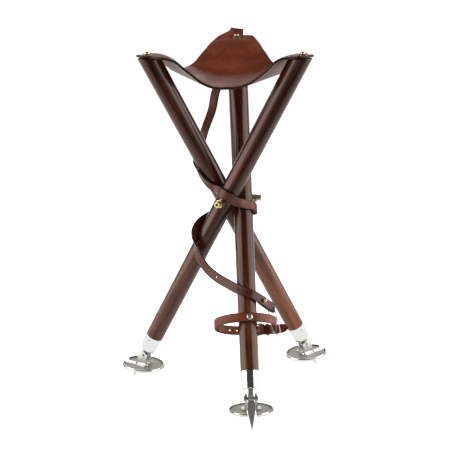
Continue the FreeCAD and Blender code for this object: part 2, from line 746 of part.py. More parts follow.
def make_seat():
    """The leather sling: three wings bent up from a level middle, with three screw holes."""
    edge = value("seat_edge")
    tip = value(f"{CORNER} + seat_tip")
    half_tip = (2 * edge - tip) * math.tan(math.radians(30))
    side = edge * math.sin(math.radians(60))
    outline = [(0, 0), (edge / 2, -side), (tip, -half_tip), (tip, half_tip), (edge / 2, side)]
    points = [FreeCAD.Vector(x, y, 0) for x, y in outline]
    tall = value(f"2 * {TOP_HEIGHT}")
    kite = Part.Face(Part.makePolygon(points + points[:1])).extrude(FreeCAD.Vector(0, 0, tall))
    section = seat_section()
    section.translate(FreeCAD.Vector(0, -side - 1, 0))
    wing = section.extrude(FreeCAD.Vector(0, 2 * side + 2, 0)).common(kite)
    hole_at = FreeCAD.Vector(value(f"{CORNER} + screw_offset"), 0, 0)
    wing = wing.cut(Part.makeCylinder(value("screw_hole"), tall, hole_at))
    wings = []
    for angle in SIDES.values():
        turned = wing.copy()
        turn = angle + 90 - value(SEAT_TURN)
        turned.rotate(FreeCAD.Vector(), FreeCAD.Vector(0, 0, 1), turn)
        wings.append(turned)
    seat = doc.addObject("Part::Feature", "seat")
    seat.Label = "seat"
    seat.Shape = wings[0].fuse(wings[1:]).removeSplitter()
    return seat


def make_trim_screw(name, place, leather, gap, head_radius, head):
    """A round-head screw through a strap and into the front leg."""
    body = new_body(name, f"{leg_place(SIDES['front'])} * {place}")
    seat = f"{gap} + {leather} + running_gap"
    shank = draw_circle(new_sketch(body, "shank", "XY_Plane", "-trim_screw_length"), "trim_screw_radius")
    pad(body, shank, f"trim_screw_length + {seat}")
    disc = draw_circle(new_sketch(body, "head", "XY_Plane", seat), head_radius)
    pad(body, disc, head)
    ease_edges(body, "Fillet", f"0.85 * {head}", lambda edge: is_round(
        edge, head_radius, f"{seat} + {head}"
    ))
    return body


def make_strap_screw():
    """The brass screw that holds the carrying strap's upper end."""
    return make_trim_screw(
        "strap_screw", STRAP_SCREW, "strap_thickness", "running_gap", "strap_head_radius", "strap_head"
    )


def make_belt_screw():
    """The nickel screw that holds the closing belt's front."""
    return make_trim_screw(
        "belt_screw", BELT_SCREW, "belt_thickness", "belt_gap", "belt_head_radius", "belt_head"
    )


def leg_frame(side):
    """A leg's own frame in numbers."""
    turn = FreeCAD.Rotation(FreeCAD.Vector(0, 0, 1), SIDES[side])
    lean = FreeCAD.Rotation(FreeCAD.Vector(1, 0, 0), -value("splay"))
    arm = turn.multVec(FreeCAD.Vector(value("arm_offset"), 0, 0))
    return FreeCAD.Placement(arm + FreeCAD.Vector(0, 0, value(HUB_HEIGHT)), turn.multiply(lean))


def bearing_ray(bearing):
    """The unit vector square to Z at a bearing from X."""
    angle = math.radians(bearing)
    return FreeCAD.Vector(math.cos(angle), math.sin(angle), 0)


def strap_rows():
    """The carrying strap's stations: its middle, the way its outer face looks and its width's share."""
    half = value("strap_thickness / 2")
    rows = []
    for side, along, bearing, standoff, facing in STRAP_ROUTE:
        frame = leg_frame(side)
        reach = value(f"leg_foot_radius + {TAPER} * (lower_length + {along}) + {standoff}") + half
        spot = bearing_ray(bearing) * reach + FreeCAD.Vector(0, 0, value(f"{along}"))
        rows.append((frame.multVec(spot), frame.Rotation.multVec(bearing_ray(facing)), 1.0))
    return rows


def squared(rows, index):
    """At one station, unit vectors along the band, out of its face and across it."""
    middle, face, _ = rows[index]
    parts = []
    for other in (index - 1, index + 1):
        if 0 <= other < len(rows):
            step = (rows[other][0] - middle).normalize()
            parts.append(step if other > index else step * -1)
    along = sum(parts, FreeCAD.Vector()).normalize()
    face = (face - along * face.dot(along)).normalize()
    return along, face, along.cross(face)


def lay_leather(rows, width, thickness):
    """A band of leather with square edges through a row of stations."""
    sections = []
    for index, (middle, _, share) in enumerate(rows):
        _, face, across = squared(rows, index)
        side = across * (width * share / 2)
        rise = face * (thickness / 2)
        sections.append([
            middle + side + rise, middle - side + rise, middle - side - rise, middle + side - rise
        ])
    faces = [Part.Face(Part.makePolygon(ring + ring[:1])) for ring in (sections[0], sections[-1])]
    for near, far in zip(sections, sections[1:]):
        for one, two in ((0, 1), (1, 2), (2, 3), (3, 0)):
            patch = Part.BSplineSurface()
            patch.buildFromPolesMultsKnots(
                [[near[one], near[two]], [far[one], far[two]]],
                [2, 2], [2, 2], [0, 1], [0, 1], False, False, 1, 1
            )
            faces.append(patch.toShape())
    shell = Part.makeShell(faces)
    shell.sewShape()
    band = Part.Solid(shell)
    if band.Volume < 0:
        band.reverse()
    return band


def piercing(middle, direction, radius, reach):
    """A round cutter through a point, as long to both sides of it."""
    return Part.makeCylinder(radius, 2 * reach, middle - direction * reach, direction)


def strap_end():
    """At the strap's doubled end: its rows, its end's directions, and where the ring goes through."""
    rows = strap_rows()
    along, face, across = squared(rows, len(rows) - 1)
    hole = rows[-1][0] - along * value("ring_inset") + across * value("ring_drop")
    hole = hole - face * value("(strap_thickness + fold_gap) / 2")
    return rows, along, face, hole


def make_carry_strap():
    """The carrying strap, doubled back behind itself at its lower end."""
    rows, along, face, ring_hole = strap_end()
    radius = value("(strap_thickness + fold_gap) / 2")
    back = []
    middle = rows[-1][0] - face * radius
    for degrees in (45, 90, 135, 180):
        angle = math.radians(degrees)
        outward = face * math.cos(angle) + along * math.sin(angle)
        back.append((middle + outward * radius, outward, 1.0))
    for index in (len(rows) - 2, STUD_ROW):
        _, outward, _ = squared(rows, index)
        back.append((rows[index][0] - outward * 2 * radius, outward * -1, 1.0))
    last, before = back[-1], back[-2]
    beyond = (last[0] - before[0]).normalize() * value("strap_fold - strap_width")
    back.append((last[0] + beyond, last[1], 1.0))
    shape = lay_leather(rows + back, value("strap_width"), value("strap_thickness"))
    reach = value("2 * strap_thickness + fold_gap")
    cuts = [(SCREW_ROW, value("trim_screw_radius + fit_play")), (STUD_ROW, value("stud_neck + fit_play"))]
    cuts += [(row, value("strap_hole")) for row in HOLE_ROWS]
    for row, hole in cuts:
        _, outward, _ = squared(rows, row)
        shape = shape.cut(piercing(rows[row][0], outward, hole, reach))
    shape = shape.cut(piercing(ring_hole, face, value("ring_hole"), reach))
    strap = doc.addObject("Part::Feature", "carry_strap")
    strap.Label = "carry_strap"
    strap.Shape = shape
    return strap


def make_strap_stud():
    """The brass ball stud that holds the strap's doubled end together."""
    rows = strap_rows()
    _, face, _ = squared(rows, STUD_ROW)
    middle = rows[STUD_ROW][0]
    front = middle + face * value("strap_thickness / 2 + 0.9 * stud_ball")
    back = middle - face * value("1.5 * strap_thickness + fold_gap + running_gap")
    neck = Part.makeCylinder(value("stud_neck"), (front - back).Length, back, face)
    ball = Part.makeSphere(value("stud_ball"), front)
    base = Part.makeCylinder(value("stud_base_radius"), value("stud_base"), back, face * -1)
    stud = doc.addObject("Part::Feature", "strap_stud")
    stud.Label = "strap_stud"
    stud.Shape = neck.fuse([ball, base]).removeSplitter()
    return stud


def make_strap_ring():
    """The long wire ring through the strap's end and round the closing belt."""
    _, _, face, hole = strap_end()
    radius = value("ring_width / 2")
    wire = value("ring_wire")
    straight = value("ring_length - ring_width")
    side_row = belt_rows()[BELT_SIDE_ROW][0]
    low = belt_frame().multVec(side_row - FreeCAD.Vector(0, 0, value("belt_width / 8")))
    down = (low - hole).normalize()
    belt_face = belt_frame().Rotation.multVec(FreeCAD.Vector(1, 0, 0))
    wide = face * 0.6 + belt_face * 0.4
    wide = (wide - down * wide.dot(down)).normalize()
    normal = wide.cross(down)
    upper = hole + down * (radius - wire)
    lower = upper + down * straight
    pieces = []
    for middle, sign in ((upper, 1), (lower, -1)):
        start = middle + wide * radius * sign
        disc = Part.Face(Part.Wire(Part.makeCircle(wire, start, down)))
        pieces.append(disc.revolve(middle, normal, -180))
    for sign in (1, -1):
        pieces.append(Part.makeCylinder(wire, straight, upper + wide * radius * sign, down))
    ring = doc.addObject("Part::Feature", "strap_ring")
    ring.Label = "strap_ring"
    ring.Shape = pieces[0].fuse(pieces[1:]).removeSplitter()
    return ring


def belt_frame():
    """The plane of the closing belt's loop, as numbers."""
    loop = FreeCAD.Placement(
        FreeCAD.Vector(0, 0, -value("belt_drop")),
        FreeCAD.Rotation(FreeCAD.Vector(1, 0, 0), -value("belt_droop")),
    )
    return leg_frame("front").multiply(loop)


def belt_rows():
    """The closing belt's stations in the plane of its loop, from the buckle's flap to the tip."""
    back = value(BELT_BACK)
    middle = value("belt_depth / 2")
    span = value("belt_half_span")
    shift = -value("belt_shift")
    bar_x, bar_y = value("buckle_place"), value(BAR_Y)
    eye = value("buckle_eye + belt_thickness / 2")
    lap = value("belt_thickness + running_gap")
    outer = back + value("belt_lap")
    inner = outer - lap
    right = shift + span
    points = [(bar_x + 5.5, bar_y - eye, 0, -1), (bar_x, bar_y - eye, 0, -1)]
    for degrees in (225, 180, 135, 90):
        ray = bearing_ray(degrees)
        points.append((bar_x + eye * ray.x, bar_y + eye * ray.y, ray.x, ray.y))
    points += [
        (bar_x + 8, inner - 0.4, 0, 1),
        (bar_x + 14, inner - 1.6, 0.3, 1),
        (bar_x + 19, inner - 5, 0.7, 0.7),
        (right - 1.8, inner - 10.6, 1, 0.5),
        (right - 0.2, inner - 18.6, 1, 0.1),
        (right, inner - 26.6, 1, 0),
    ]
    for degrees in range(0, -271, -15):
        ray = bearing_ray(degrees)
        points.append((
            shift + span * ray.x, back - middle + middle * ray.y, ray.x / span, ray.y / middle
        ))
    points += [
        (bar_x - 13, outer - 0.1, 0, 1),
        (bar_x, outer, 0, 1),
        (bar_x + 8, outer - 0.3, 0.1, 1),
        (bar_x + 14, outer - 1.2, 0.2, 1),
        (bar_x + 25, outer - 4.0, 0.3, 1),
        (bar_x + 36, outer - 7.5, 0.3, 1),
    ]
    rows = [(FreeCAD.Vector(x, y, 0), FreeCAD.Vector(a, b, 0), 1.0) for x, y, a, b in points]
    rows.append((FreeCAD.Vector(bar_x + 47, outer - 11.3, 0), FreeCAD.Vector(0.3, 1, 0), 0.1))
    return rows


def make_closing_belt():
    """The closing belt: one band from the buckle's flap, round the loop and on to its pointed tail."""
    shape = lay_leather(belt_rows(), value("belt_width"), value("belt_thickness"))
    wide = value("belt_width")
    bar_x, bar_y = value("buckle_place"), value(BAR_Y)
    lean = value(BUCKLE_LEAN)
    slot = value("tongue_slot")
    reach = value("buckle_eye + belt_thickness + running_gap / 2")
    shape = shape.cut(Part.makeBox(
        2 * reach - 1, 2 * reach, slot, FreeCAD.Vector(bar_x - reach, bar_y - reach, -slot / 2)
    ))
    outer = value(f"{BELT_BACK} + belt_lap")
    hole = value("tongue_hole")
    wide_hole = value("tongue_width + 3 * running_gap")
    across = (outer - bar_y) / math.tan(math.radians(lean))
    shape = shape.cut(Part.makeBox(hole, value("2 * belt_thickness"), wide_hole, FreeCAD.Vector(
        bar_x - across + 3 - hole / 2, outer - value("belt_thickness"), -wide_hole / 2
    )))
    turn = value("belt_screw_turn")
    screw = piercing(bearing_ray(turn) * wide, bearing_ray(turn), value("trim_screw_radius + fit_play"), 12)
    shape = shape.cut(screw)
    for angle in (-240, -255):
        ray = bearing_ray(angle)
        spot = FreeCAD.Vector(
            value("belt_half_span") * ray.x - value("belt_shift"),
            value(f"{BELT_BACK} - belt_depth / 2") + value("belt_depth / 2") * ray.y, 0
        )
        shape = shape.cut(piercing(spot, FreeCAD.Vector(0, 1, 0), value("belt_hole"), 5))
    belt = doc.addObject("Part::Feature", "closing_belt")
    belt.Label = "closing_belt"
    belt.Shape = shape
    belt.Placement = belt_frame()
    return belt


def make_buckle_frame():
    """The square wire frame of the belt's buckle; its bar stands along Z at the origin."""
    body = new_body("buckle_frame", belt_place("buckle_place", BAR_Y, f"180 - {BUCKLE_LEAN}"))
    half = "buckle_bar / 2"
    rail = "belt_width / 2 + buckle_play"
    sketch = new_sketch(body, "ring", "XZ_Plane")
    draw_outline(sketch, rectangle(
        f"-{half}", f"buckle_length + {half}", f"-({rail} + buckle_bar)", f"{rail} + buckle_bar"
    ))
    draw_outline(sketch, rectangle(half, f"buckle_length - {half}", f"-({rail})", rail))
    pad(body, sketch, "buckle_bar", symmetric=True)
    ease_edges(body, "Fillet", "0.25 * buckle_bar", lambda edge: edge.Length > value("buckle_length / 2"))
    return body


def make_buckle_tongue():
    """The buckle's tongue: an eye round the bar and a flat pin that rests on the far bar."""
    body = new_body("buckle_tongue", belt_place("buckle_place", BAR_Y, f"180 - {BUCKLE_LEAN}"))
    outer = "(tongue_eye + tongue_thickness)"
    rest = "(buckle_bar / 2 + running_gap)"
    eye = new_sketch(body, "eye", "XY_Plane")
    pad(body, draw_circle(eye, outer), "tongue_width", symmetric=True)
    pin = new_sketch(body, "pin", "XY_Plane")
    draw_outline(pin, rectangle(
        "0", "buckle_length + buckle_bar", f"-{rest} - tongue_thickness", f"-{rest}"
    ))
    pad(body, pin, "tongue_width", symmetric=True)
    hole = new_sketch(body, "eye_hole", "XY_Plane")
    pocket(body, draw_circle(hole, "buckle_bar * 0.71 + fit_play"))
    return body


def make_keeper():
    """The leather loop that holds the belt's tail down."""
    place = "buckle_place + keeper_place"
    body = new_body("belt_keeper", belt_place(place, f"{BELT_BACK} + belt_lap - {KEEPER_SINK}", "-keeper_turn"))
    high = "(belt_thickness + keeper_play)"
    wide = "(belt_width / 2 + running_gap)"
    sketch = new_sketch(body, "ring", "YZ_Plane")
    draw_outline(sketch, rectangle(f"-{high}", high, f"-{wide}", wide))
    draw_outline(sketch, rectangle(
        f"-{high} - keeper_wall", f"{high} + keeper_wall", f"-{wide} - keeper_wall",
        f"{wide} + keeper_wall"
    ))
    pad(body, sketch, "keeper_width", symmetric=True)
    return body


PIECES = [
    make_leg, make_ferrule, make_cross_pin, make_spike, make_foot_plate, make_head_ear,
    make_nut_ear, make_pivot_pin, make_pivot_nut, make_hub_washer, make_hub_nut,
    make_seat_screw, make_cup_washer,
]


def build():
    """Builds every sub-part and gives the list of them."""
    nodes = [make_hub_bolt(), make_seat()]
    for side, angle in SIDES.items():
        nodes.extend(make(side, angle) for make in PIECES)
    nodes += [
        make_carry_strap(), make_strap_screw(), make_strap_stud(), make_strap_ring(),
        make_closing_belt(), make_belt_screw(), make_buckle_frame(), make_buckle_tongue(),
        make_keeper(),
    ]
    doc.recompute()
    return nodes


def write(nodes):
    """Checks every object and writes each sub-part to its own file."""
    for item in doc.Objects:
        if any(state in item.State for state in ("Invalid", "Error")):
            raise RuntimeError(f"{item.Name}: {item.State}")
    os.makedirs("parts", exist_ok=True)
    for node in nodes:
        shape = node.Shape
        if shape.isNull() or not shape.isValid() or shape.Volume <= 0:
            raise RuntimeError(f"{node.Label} has no valid solid")
    for node in nodes:
        node.Shape.exportStep(f"parts/{node.Label}.step")
        box = node.Shape.BoundBox
        print(f"{node.Label}: {len(node.Shape.Solids)} solid(s), {node.Shape.Volume:.0f} mm3, "
              f"z {box.ZMin:.1f} to {box.ZMax:.1f}")


write(build())
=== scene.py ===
"""A folding three-legged stool: slung leather seat, crossed stained legs, strap, belt and feet.

Lengths in this file are millimetres until they reach a mesh, which is in metres. The ground is
z = 0, the three-way bolt stands above the origin, and the front foot lies towards -Y.
"""

import logging
import math
from dataclasses import dataclass, field
from enum import Enum
from typing import Any, Optional, Sequence

import bpy
import numpy as np
from mathutils import Matrix, Vector

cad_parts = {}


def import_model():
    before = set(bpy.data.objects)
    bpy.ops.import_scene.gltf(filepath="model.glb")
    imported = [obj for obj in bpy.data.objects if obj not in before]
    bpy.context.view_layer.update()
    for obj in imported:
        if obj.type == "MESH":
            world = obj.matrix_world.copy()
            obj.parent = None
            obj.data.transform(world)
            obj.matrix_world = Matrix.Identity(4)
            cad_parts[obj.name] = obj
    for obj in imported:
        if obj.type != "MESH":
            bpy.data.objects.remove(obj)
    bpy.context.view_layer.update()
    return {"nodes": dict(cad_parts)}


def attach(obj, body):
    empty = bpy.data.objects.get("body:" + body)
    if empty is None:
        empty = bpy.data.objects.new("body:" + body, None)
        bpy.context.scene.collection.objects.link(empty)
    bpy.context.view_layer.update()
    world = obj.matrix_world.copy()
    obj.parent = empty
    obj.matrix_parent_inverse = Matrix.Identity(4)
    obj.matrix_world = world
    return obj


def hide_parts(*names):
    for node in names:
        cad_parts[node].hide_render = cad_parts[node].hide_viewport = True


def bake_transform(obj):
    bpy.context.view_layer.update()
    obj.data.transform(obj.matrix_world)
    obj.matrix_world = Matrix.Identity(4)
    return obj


LOG = logging.getLogger("stool")
MM = 0.001
UP = np.array([0.0, 0.0, 1.0])
# Faces that meet at more than this are shaded with a sharp edge.
SHARP_DEGREES = 50
# The steps round a quarter of a rounded cut edge.
QUARTER = np.radians([30, 60, 90])


class Side(Enum):
    """The three legs, named for their feet, with the bearing of each one's arm of the bolt."""

    FRONT = ("front", 0.0)
    REAR_RIGHT = ("rear_right", 120.0)
    REAR_LEFT = ("rear_left", 240.0)

    @property
    def word(self) -> str:
        """The word that ends the names of this leg's parts."""
        return self.value[0]

    @property
    def turn(self) -> float:
        """The arm's bearing in radians."""
        return math.radians(self.value[1])

    @property
    def leg_body(self) -> str:
        """The rigid body that the leg belongs to."""
        return f"{self.word}_leg"


def unit(vector: np.ndarray) -> np.ndarray:
    """Vectors of length one.

    Args:
        vector: One vector, or an array of them along the last axis.

    Returns:
        The same directions, each divided by its length.
    """
    return vector / np.linalg.norm(vector, axis=-1, keepdims=True)


def bearing_ray(degrees: float) -> np.ndarray:
    """The unit vector square to Z at a bearing from X."""
    angle = math.radians(degrees)
    return np.array([math.cos(angle), math.sin(angle), 0.0])


def turn_about(axis: str, angle: float) -> np.ndarray:
    """The 3 x 3 matrix of a turn about one axis."""
    return np.array(Matrix.Rotation(angle, 3, axis))


@dataclass(frozen=True)
class Stance:
    """How the legs stand, from the same sizes as the solids.

    Attributes:
        splay: How far each leg leans from upright, in degrees.
        arm_offset: How far each leg's axis passes from the middle.
        upper_length: Along the leg from the bolt up to the middle of its level top.
        lower_length: Along the leg from the bolt down to the end of the bare wood.
        pivot_drop: From the end of the bare wood down to the foot's pivot pin.
        spike_drop: From the pivot pin down to the spike's end.
        spike_flat: Width of the spike's blunt end.
        top_radius: The leg's radius at its top.
        foot_radius: The leg's radius at the end of the bare wood.
    """

    splay: float = 29.3
    arm_offset: float = 20.4
    upper_length: float = 291.5
    lower_length: float = 300.9
    pivot_drop: float = 45.5
    spike_drop: float = 51.3
    spike_flat: float = 1.6
    top_radius: float = 17.65
    foot_radius: float = 15.65

    @property
    def lean(self) -> float:
        """The splay in radians."""
        return math.radians(self.splay)

    @property
    def hub_height(self) -> float:
        """Height of the bolt: the rise up leg and foot, plus half of the spike's blunt end."""
        drop = self.lower_length + self.pivot_drop + self.spike_drop
        return drop * math.cos(self.lean) + self.spike_flat / 2 * math.sin(self.lean)

    @property
    def seat_height(self) -> float:
        """Height of the middle of a leg's level top."""
        return self.hub_height + self.upper_length * math.cos(self.lean)

    @property
    def corner_reach(self) -> float:
        """How far a leg's top stands from the middle axis."""
        return math.hypot(self.arm_offset, self.upper_length * math.sin(self.lean))

    @property
    def seat_turn(self) -> float:
        """Degrees by which the seat's corners lag behind the legs' headings."""
        return math.degrees(math.atan(self.arm_offset / (self.upper_length * math.sin(self.lean))))

    def corner_bearing(self, side: Side) -> float:
        """Bearing in radians of the seat's corner on a leg, seen from the middle."""
        return side.turn + math.pi / 2 - math.radians(self.seat_turn)

    def radius(self, along: float) -> float:
        """The leg's radius, a straight taper.

        Args:
            along: The distance up the leg from the bolt.

        Returns:
            The radius there.
        """
        top_end = self.upper_length + self.top_radius * math.tan(self.lean)
        taper = (self.top_radius - self.foot_radius) / (self.lower_length + top_end)
        return self.foot_radius + taper * (self.lower_length + along)

    def axes(self, side: Side) -> np.ndarray:
        """A leg's own axes as columns: X along its arm, Z up the leg."""
        return turn_about("Z", side.turn) @ turn_about("X", -self.lean)

    def origin(self, side: Side) -> np.ndarray:
        """Where the leg's axis crosses its arm."""
        arm = turn_about("Z", side.turn) @ np.array([self.arm_offset, 0.0, 0.0])
        return arm + UP * self.hub_height


STANCE = Stance()


# Meshes


def tube_faces(rows: int, around: int, clockwise: bool) -> list[np.ndarray]:
    """Faces of a tube of points, closed with a flat face at each end.

    Args:
        rows: Number of rows along the tube.
        around: Points in each row, which closes on itself.
        clockwise: Whether a row turns clockwise, as seen from where the rows go.

    Returns:
        Corner indices of each face, all facing outwards.
    """
    row, column = np.meshgrid(np.arange(rows - 1), np.arange(around), indexing="ij")
    following = (column + 1) % around
    corners = [row * around + column, row * around + following,
               (row + 1) * around + following, (row + 1) * around + column]
    faces = list(np.stack(corners, axis=-1).reshape(-1, 4))
    faces.append(np.arange(around)[::-1])
    faces.append(np.arange((rows - 1) * around, rows * around))
    return [face[::-1] for face in faces] if clockwise else faces


def make_piece(
    name: str,
    points: np.ndarray,
    faces: Sequence[Sequence[int]],
    uv: Optional[np.ndarray] = None,
    edge: Optional[np.ndarray] = None,
) -> bpy.types.Object:
    """Puts a surface into a new object at the origin.

    Args:
        name: The object's name.
        points: Points in millimetres, n x 3.
        faces: Corner indices of each face.
        uv: A map coordinate for each point in millimetres, n x 2.
        edge: How near each point lies to a cut edge, from 0 to 1.

    Returns:
        The linked object, smooth shaded.
    """
    mesh = bpy.data.meshes.new(name)
    mesh.from_pydata(np.asarray(points) * MM, [], [tuple(map(int, face)) for face in faces])
    mesh.polygons.foreach_set("use_smooth", np.ones(len(mesh.polygons), bool))
    mesh.set_sharp_from_angle(angle=math.radians(SHARP_DEGREES))
    if uv is not None:
        layer = mesh.uv_layers.new(name="run")
        corner = np.empty(len(mesh.loops), np.int32)
        mesh.loops.foreach_get("vertex_index", corner)
        layer.data.foreach_set("uv", uv[corner].astype(np.float32).ravel())
    if edge is not None:
        attribute = mesh.attributes.new("edge", "FLOAT", "POINT")
        attribute.data.foreach_set("value", edge.astype(np.float32))
    mesh.update()
    piece = bpy.data.objects.new(name, mesh)
    bpy.context.scene.collection.objects.link(piece)
    return piece


def cylinder_cutter(
    middle: np.ndarray, axis: np.ndarray, radius: float, reach: float, sides: int = 28
) -> bpy.types.Object:
    """A round punch: circles at both ends of a line through the middle.

    Args:
        middle: The punch's middle.
        axis: The way it goes through.
        radius: Its radius.
        reach: How far it reaches to each side.
        sides: Points in each circle.

    Returns:
        The punch, to be used by cut_out.
    """
    axis = unit(axis)
    # Any vector that no punch's axis lies along can give the circle its start.
    askew = [0.31, 0.17, 0.93]
    first = unit(np.cross(axis, askew))
    second = np.cross(axis, first)
    angle = np.linspace(0, 2 * np.pi, sides, endpoint=False)[:, None]
    circle = (first * np.cos(angle) + second * np.sin(angle)) * radius
    points = np.concatenate([middle - axis * reach + circle, middle + axis * reach + circle])
    return make_piece("punch", points, tube_faces(2, sides, False))


def box_cutter(
    middle: np.ndarray, axes: Sequence[np.ndarray], half: Sequence[float]
) -> bpy.types.Object:
    """A square punch.

    Args:
        middle: The punch's middle.
        axes: Its three directions, right-handed.
        half: Half its size along each.

    Returns:
        The punch, to be used by cut_out.
    """
    signs = np.array([[-1, -1], [1, -1], [1, 1], [-1, 1]], float)
    flat = signs[:, :1] * axes[0] * half[0] + signs[:, 1:] * axes[1] * half[1]
    points = np.concatenate([middle + flat - axes[2] * half[2], middle + flat + axes[2] * half[2]])
    return make_piece("punch", points, tube_faces(2, len(signs), False))


def cut_out(piece: bpy.types.Object, cutters: Sequence[bpy.types.Object]) -> None:
    """Takes each punch out of a piece and removes the punch.

    Args:
        piece: The piece, whose mesh is replaced.
        cutters: The punches.
    """
    for cutter in cutters:
        cut = piece.modifiers.new("cut", "BOOLEAN")
        cut.operation = "DIFFERENCE"
        cut.solver = "EXACT"
        cut.object = cutter
        bpy.context.view_layer.update()
        shown = piece.evaluated_get(bpy.context.evaluated_depsgraph_get())
        mesh = bpy.data.meshes.new_from_object(shown)
        piece.modifiers.clear()
        piece.data = mesh
        bpy.data.objects.remove(cutter)


def through(knots: np.ndarray, values: np.ndarray, at: np.ndarray) -> np.ndarray:
    """A smooth curve through values given at uneven knots.

    Between two knots it is the cubic that meets both values, with the slope at each knot taken
    from the two neighbours and weighted towards the nearer one.

    Args:
        knots: Rising distances, n.
        values: A value or vector at each knot, n x k.
        at: The distances asked for, m.

    Returns:
        The curve's values, m x k.
    """
    step = np.diff(knots)[:, None]
    rise = np.diff(values, axis=0) / step
    slope = np.empty_like(values)
    slope[0], slope[-1] = rise[0], rise[-1]
    slope[1:-1] = (rise[:-1] * step[1:] + rise[1:] * step[:-1]) / (step[1:] + step[:-1])
    index = np.clip(np.searchsorted(knots, at, side="right") - 1, 0, len(knots) - 2)
    width = step[index]
    share = ((at - knots[index])[:, None]) / width
    square, cube = share ** 2, share ** 3
    return (
        values[index] * (2 * cube - 3 * square + 1)
        + slope[index] * width * (cube - 2 * square + share)
        + values[index + 1] * (3 * square - 2 * cube)
        + slope[index + 1] * width * (cube - square)
    )


@dataclass
class Band:
    """A leather band of even width and thickness along a row of stations.

    Attributes:
        middles: The stations, n x 3.
        facings: The way the outer face looks at each, n x 3.
        width: The band's width.
        thickness: Its thickness.
        shares: The share of the full width at each station.
        step: The spacing of the finished rows.
        ease: Passes of smoothing along the band.
        eased: The station that the smoothing ends at.
        rounding: Radius of the section's corners, as a share of the thickness.
        face_points: Points across each face, between the corners.
        burnish: How far in from its sides the band's dark edge starts.
        fade: The width over which the dark edge deepens.
    """

    middles: np.ndarray
    facings: np.ndarray
    width: float
    thickness: float
    shares: Optional[np.ndarray] = None
    step: float = 1.5
    ease: int = 0
    eased: int = -1
    rounding: float = 0.32
    face_points: int = 11
    burnish: float = 1.6
    fade: float = 1.2

    def rows(self) -> tuple[np.ndarray, np.ndarray, np.ndarray, np.ndarray, np.ndarray, np.ndarray]:
        """The band's finished rows.

        The stations are joined by a smooth curve over the distance along them, and the facing is
        carried the same way and made square to the curve.

        Returns:
            Distances, middles, directions along, out of the face and across, and width shares.
        """
        gaps = np.linalg.norm(np.diff(self.middles, axis=0), axis=1)
        knots = np.concatenate([[0.0], np.cumsum(gaps)])
        count = int(knots[-1] / self.step) + 1
        at = np.linspace(0.0, knots[-1], count)
        middle = through(knots, self.middles, at)
        facing = through(knots, unit(self.facings), at)
        last = np.searchsorted(at, knots[self.eased]) - 1
        for _ in range(self.ease):
            for run in (middle, facing):
                run[1:last] = (run[:last - 1] + 2 * run[1:last] + run[2:last + 1]) / 4
        along = unit(np.gradient(middle, axis=0))
        face = unit(facing - along * np.sum(facing * along, axis=1, keepdims=True))
        across = np.cross(along, face)
        shares = np.ones(len(knots)) if self.shares is None else self.shares
        return at, middle, along, face, across, np.interp(at, knots, shares)

    def build(self, name: str, start: float = 0.0, end: float = 1.0) -> bpy.types.Object:
        """Makes the band, or the part of it between two shares of its length.

        Its section is a flat oblong whose four corners are quarter circles: points run once round
        it, with the width scaled by the share of the row. Both ends are closed with a flat face.

        Args:
            name: The piece's name.
            start: Where the part starts, from 0 to 1.
            end: Where it ends.

        Returns:
            The band, with its run in millimetres as UV and its cut edges marked.
        """
        run = self.rows()
        first, last = round(start * (len(run[0]) - 1)), round(end * (len(run[0]) - 1))
        at, middle, along, face, across, share = (part[first:last + 1] for part in run)
        whole = run[0][-1]
        radius = self.rounding * self.thickness
        half_width, half_thick = self.width / 2, self.thickness / 2
        angle = np.concatenate([[0.0], QUARTER])
        corner_x, corner_y = np.sin(angle) * radius, np.cos(angle) * radius
        flat = np.linspace(-1, 1, self.face_points + 2)[1:-1]
        high = np.full(self.face_points, half_thick)
        inner_x, inner_y = half_width - radius, half_thick - radius
        side_x = np.concatenate([
            flat * inner_x, inner_x + corner_x, inner_x + corner_x[::-1],
            -flat * inner_x, -inner_x - corner_x, -inner_x - corner_x[::-1],
        ])
        side_y = np.concatenate([
            high, inner_y + corner_y, -inner_y - corner_y[::-1],
            -high, -inner_y - corner_y, inner_y + corner_y[::-1],
        ])
        points = (
            middle[:, None, :]
            + across[:, None, :] * (side_x[None, :, None] * share[:, None, None])
            + face[:, None, :] * side_y[None, :, None]
        )
        rows, around = len(at), len(side_x)
        uv = np.stack(np.broadcast_arrays(at[:, None], side_x[None, :]), axis=-1).reshape(-1, 2)
        near = np.clip((np.abs(side_x) - (half_width - self.burnish)) / self.fade, 0, 1)
        near = np.broadcast_to(near[None, :], (rows, around))
        from_end = np.minimum(at, whole - at)[:, None]
        near = np.maximum(near, np.clip(1 - from_end / self.fade, 0, 1))
        faces = tube_faces(rows, around, True)
        return make_piece(name, points.reshape(-1, 3), faces, uv, near.ravel())


# Finishes


def linear(code: str) -> tuple[float, float, float, float]:
    """A colour written as sRGB hex, turned to linear light.

    Args:
        code: Six hex digits after a hash.

    Returns:
        Linear red, green, blue and full alpha.
    """
    shares = [int(code[i:i + 2], 16) / 255 for i in (1, 3, 5)]
    light = [c / 12.92 if c <= 0.04045 else ((c + 0.055) / 1.055) ** 2.4 for c in shares]
    return (light[0], light[1], light[2], 1.0)


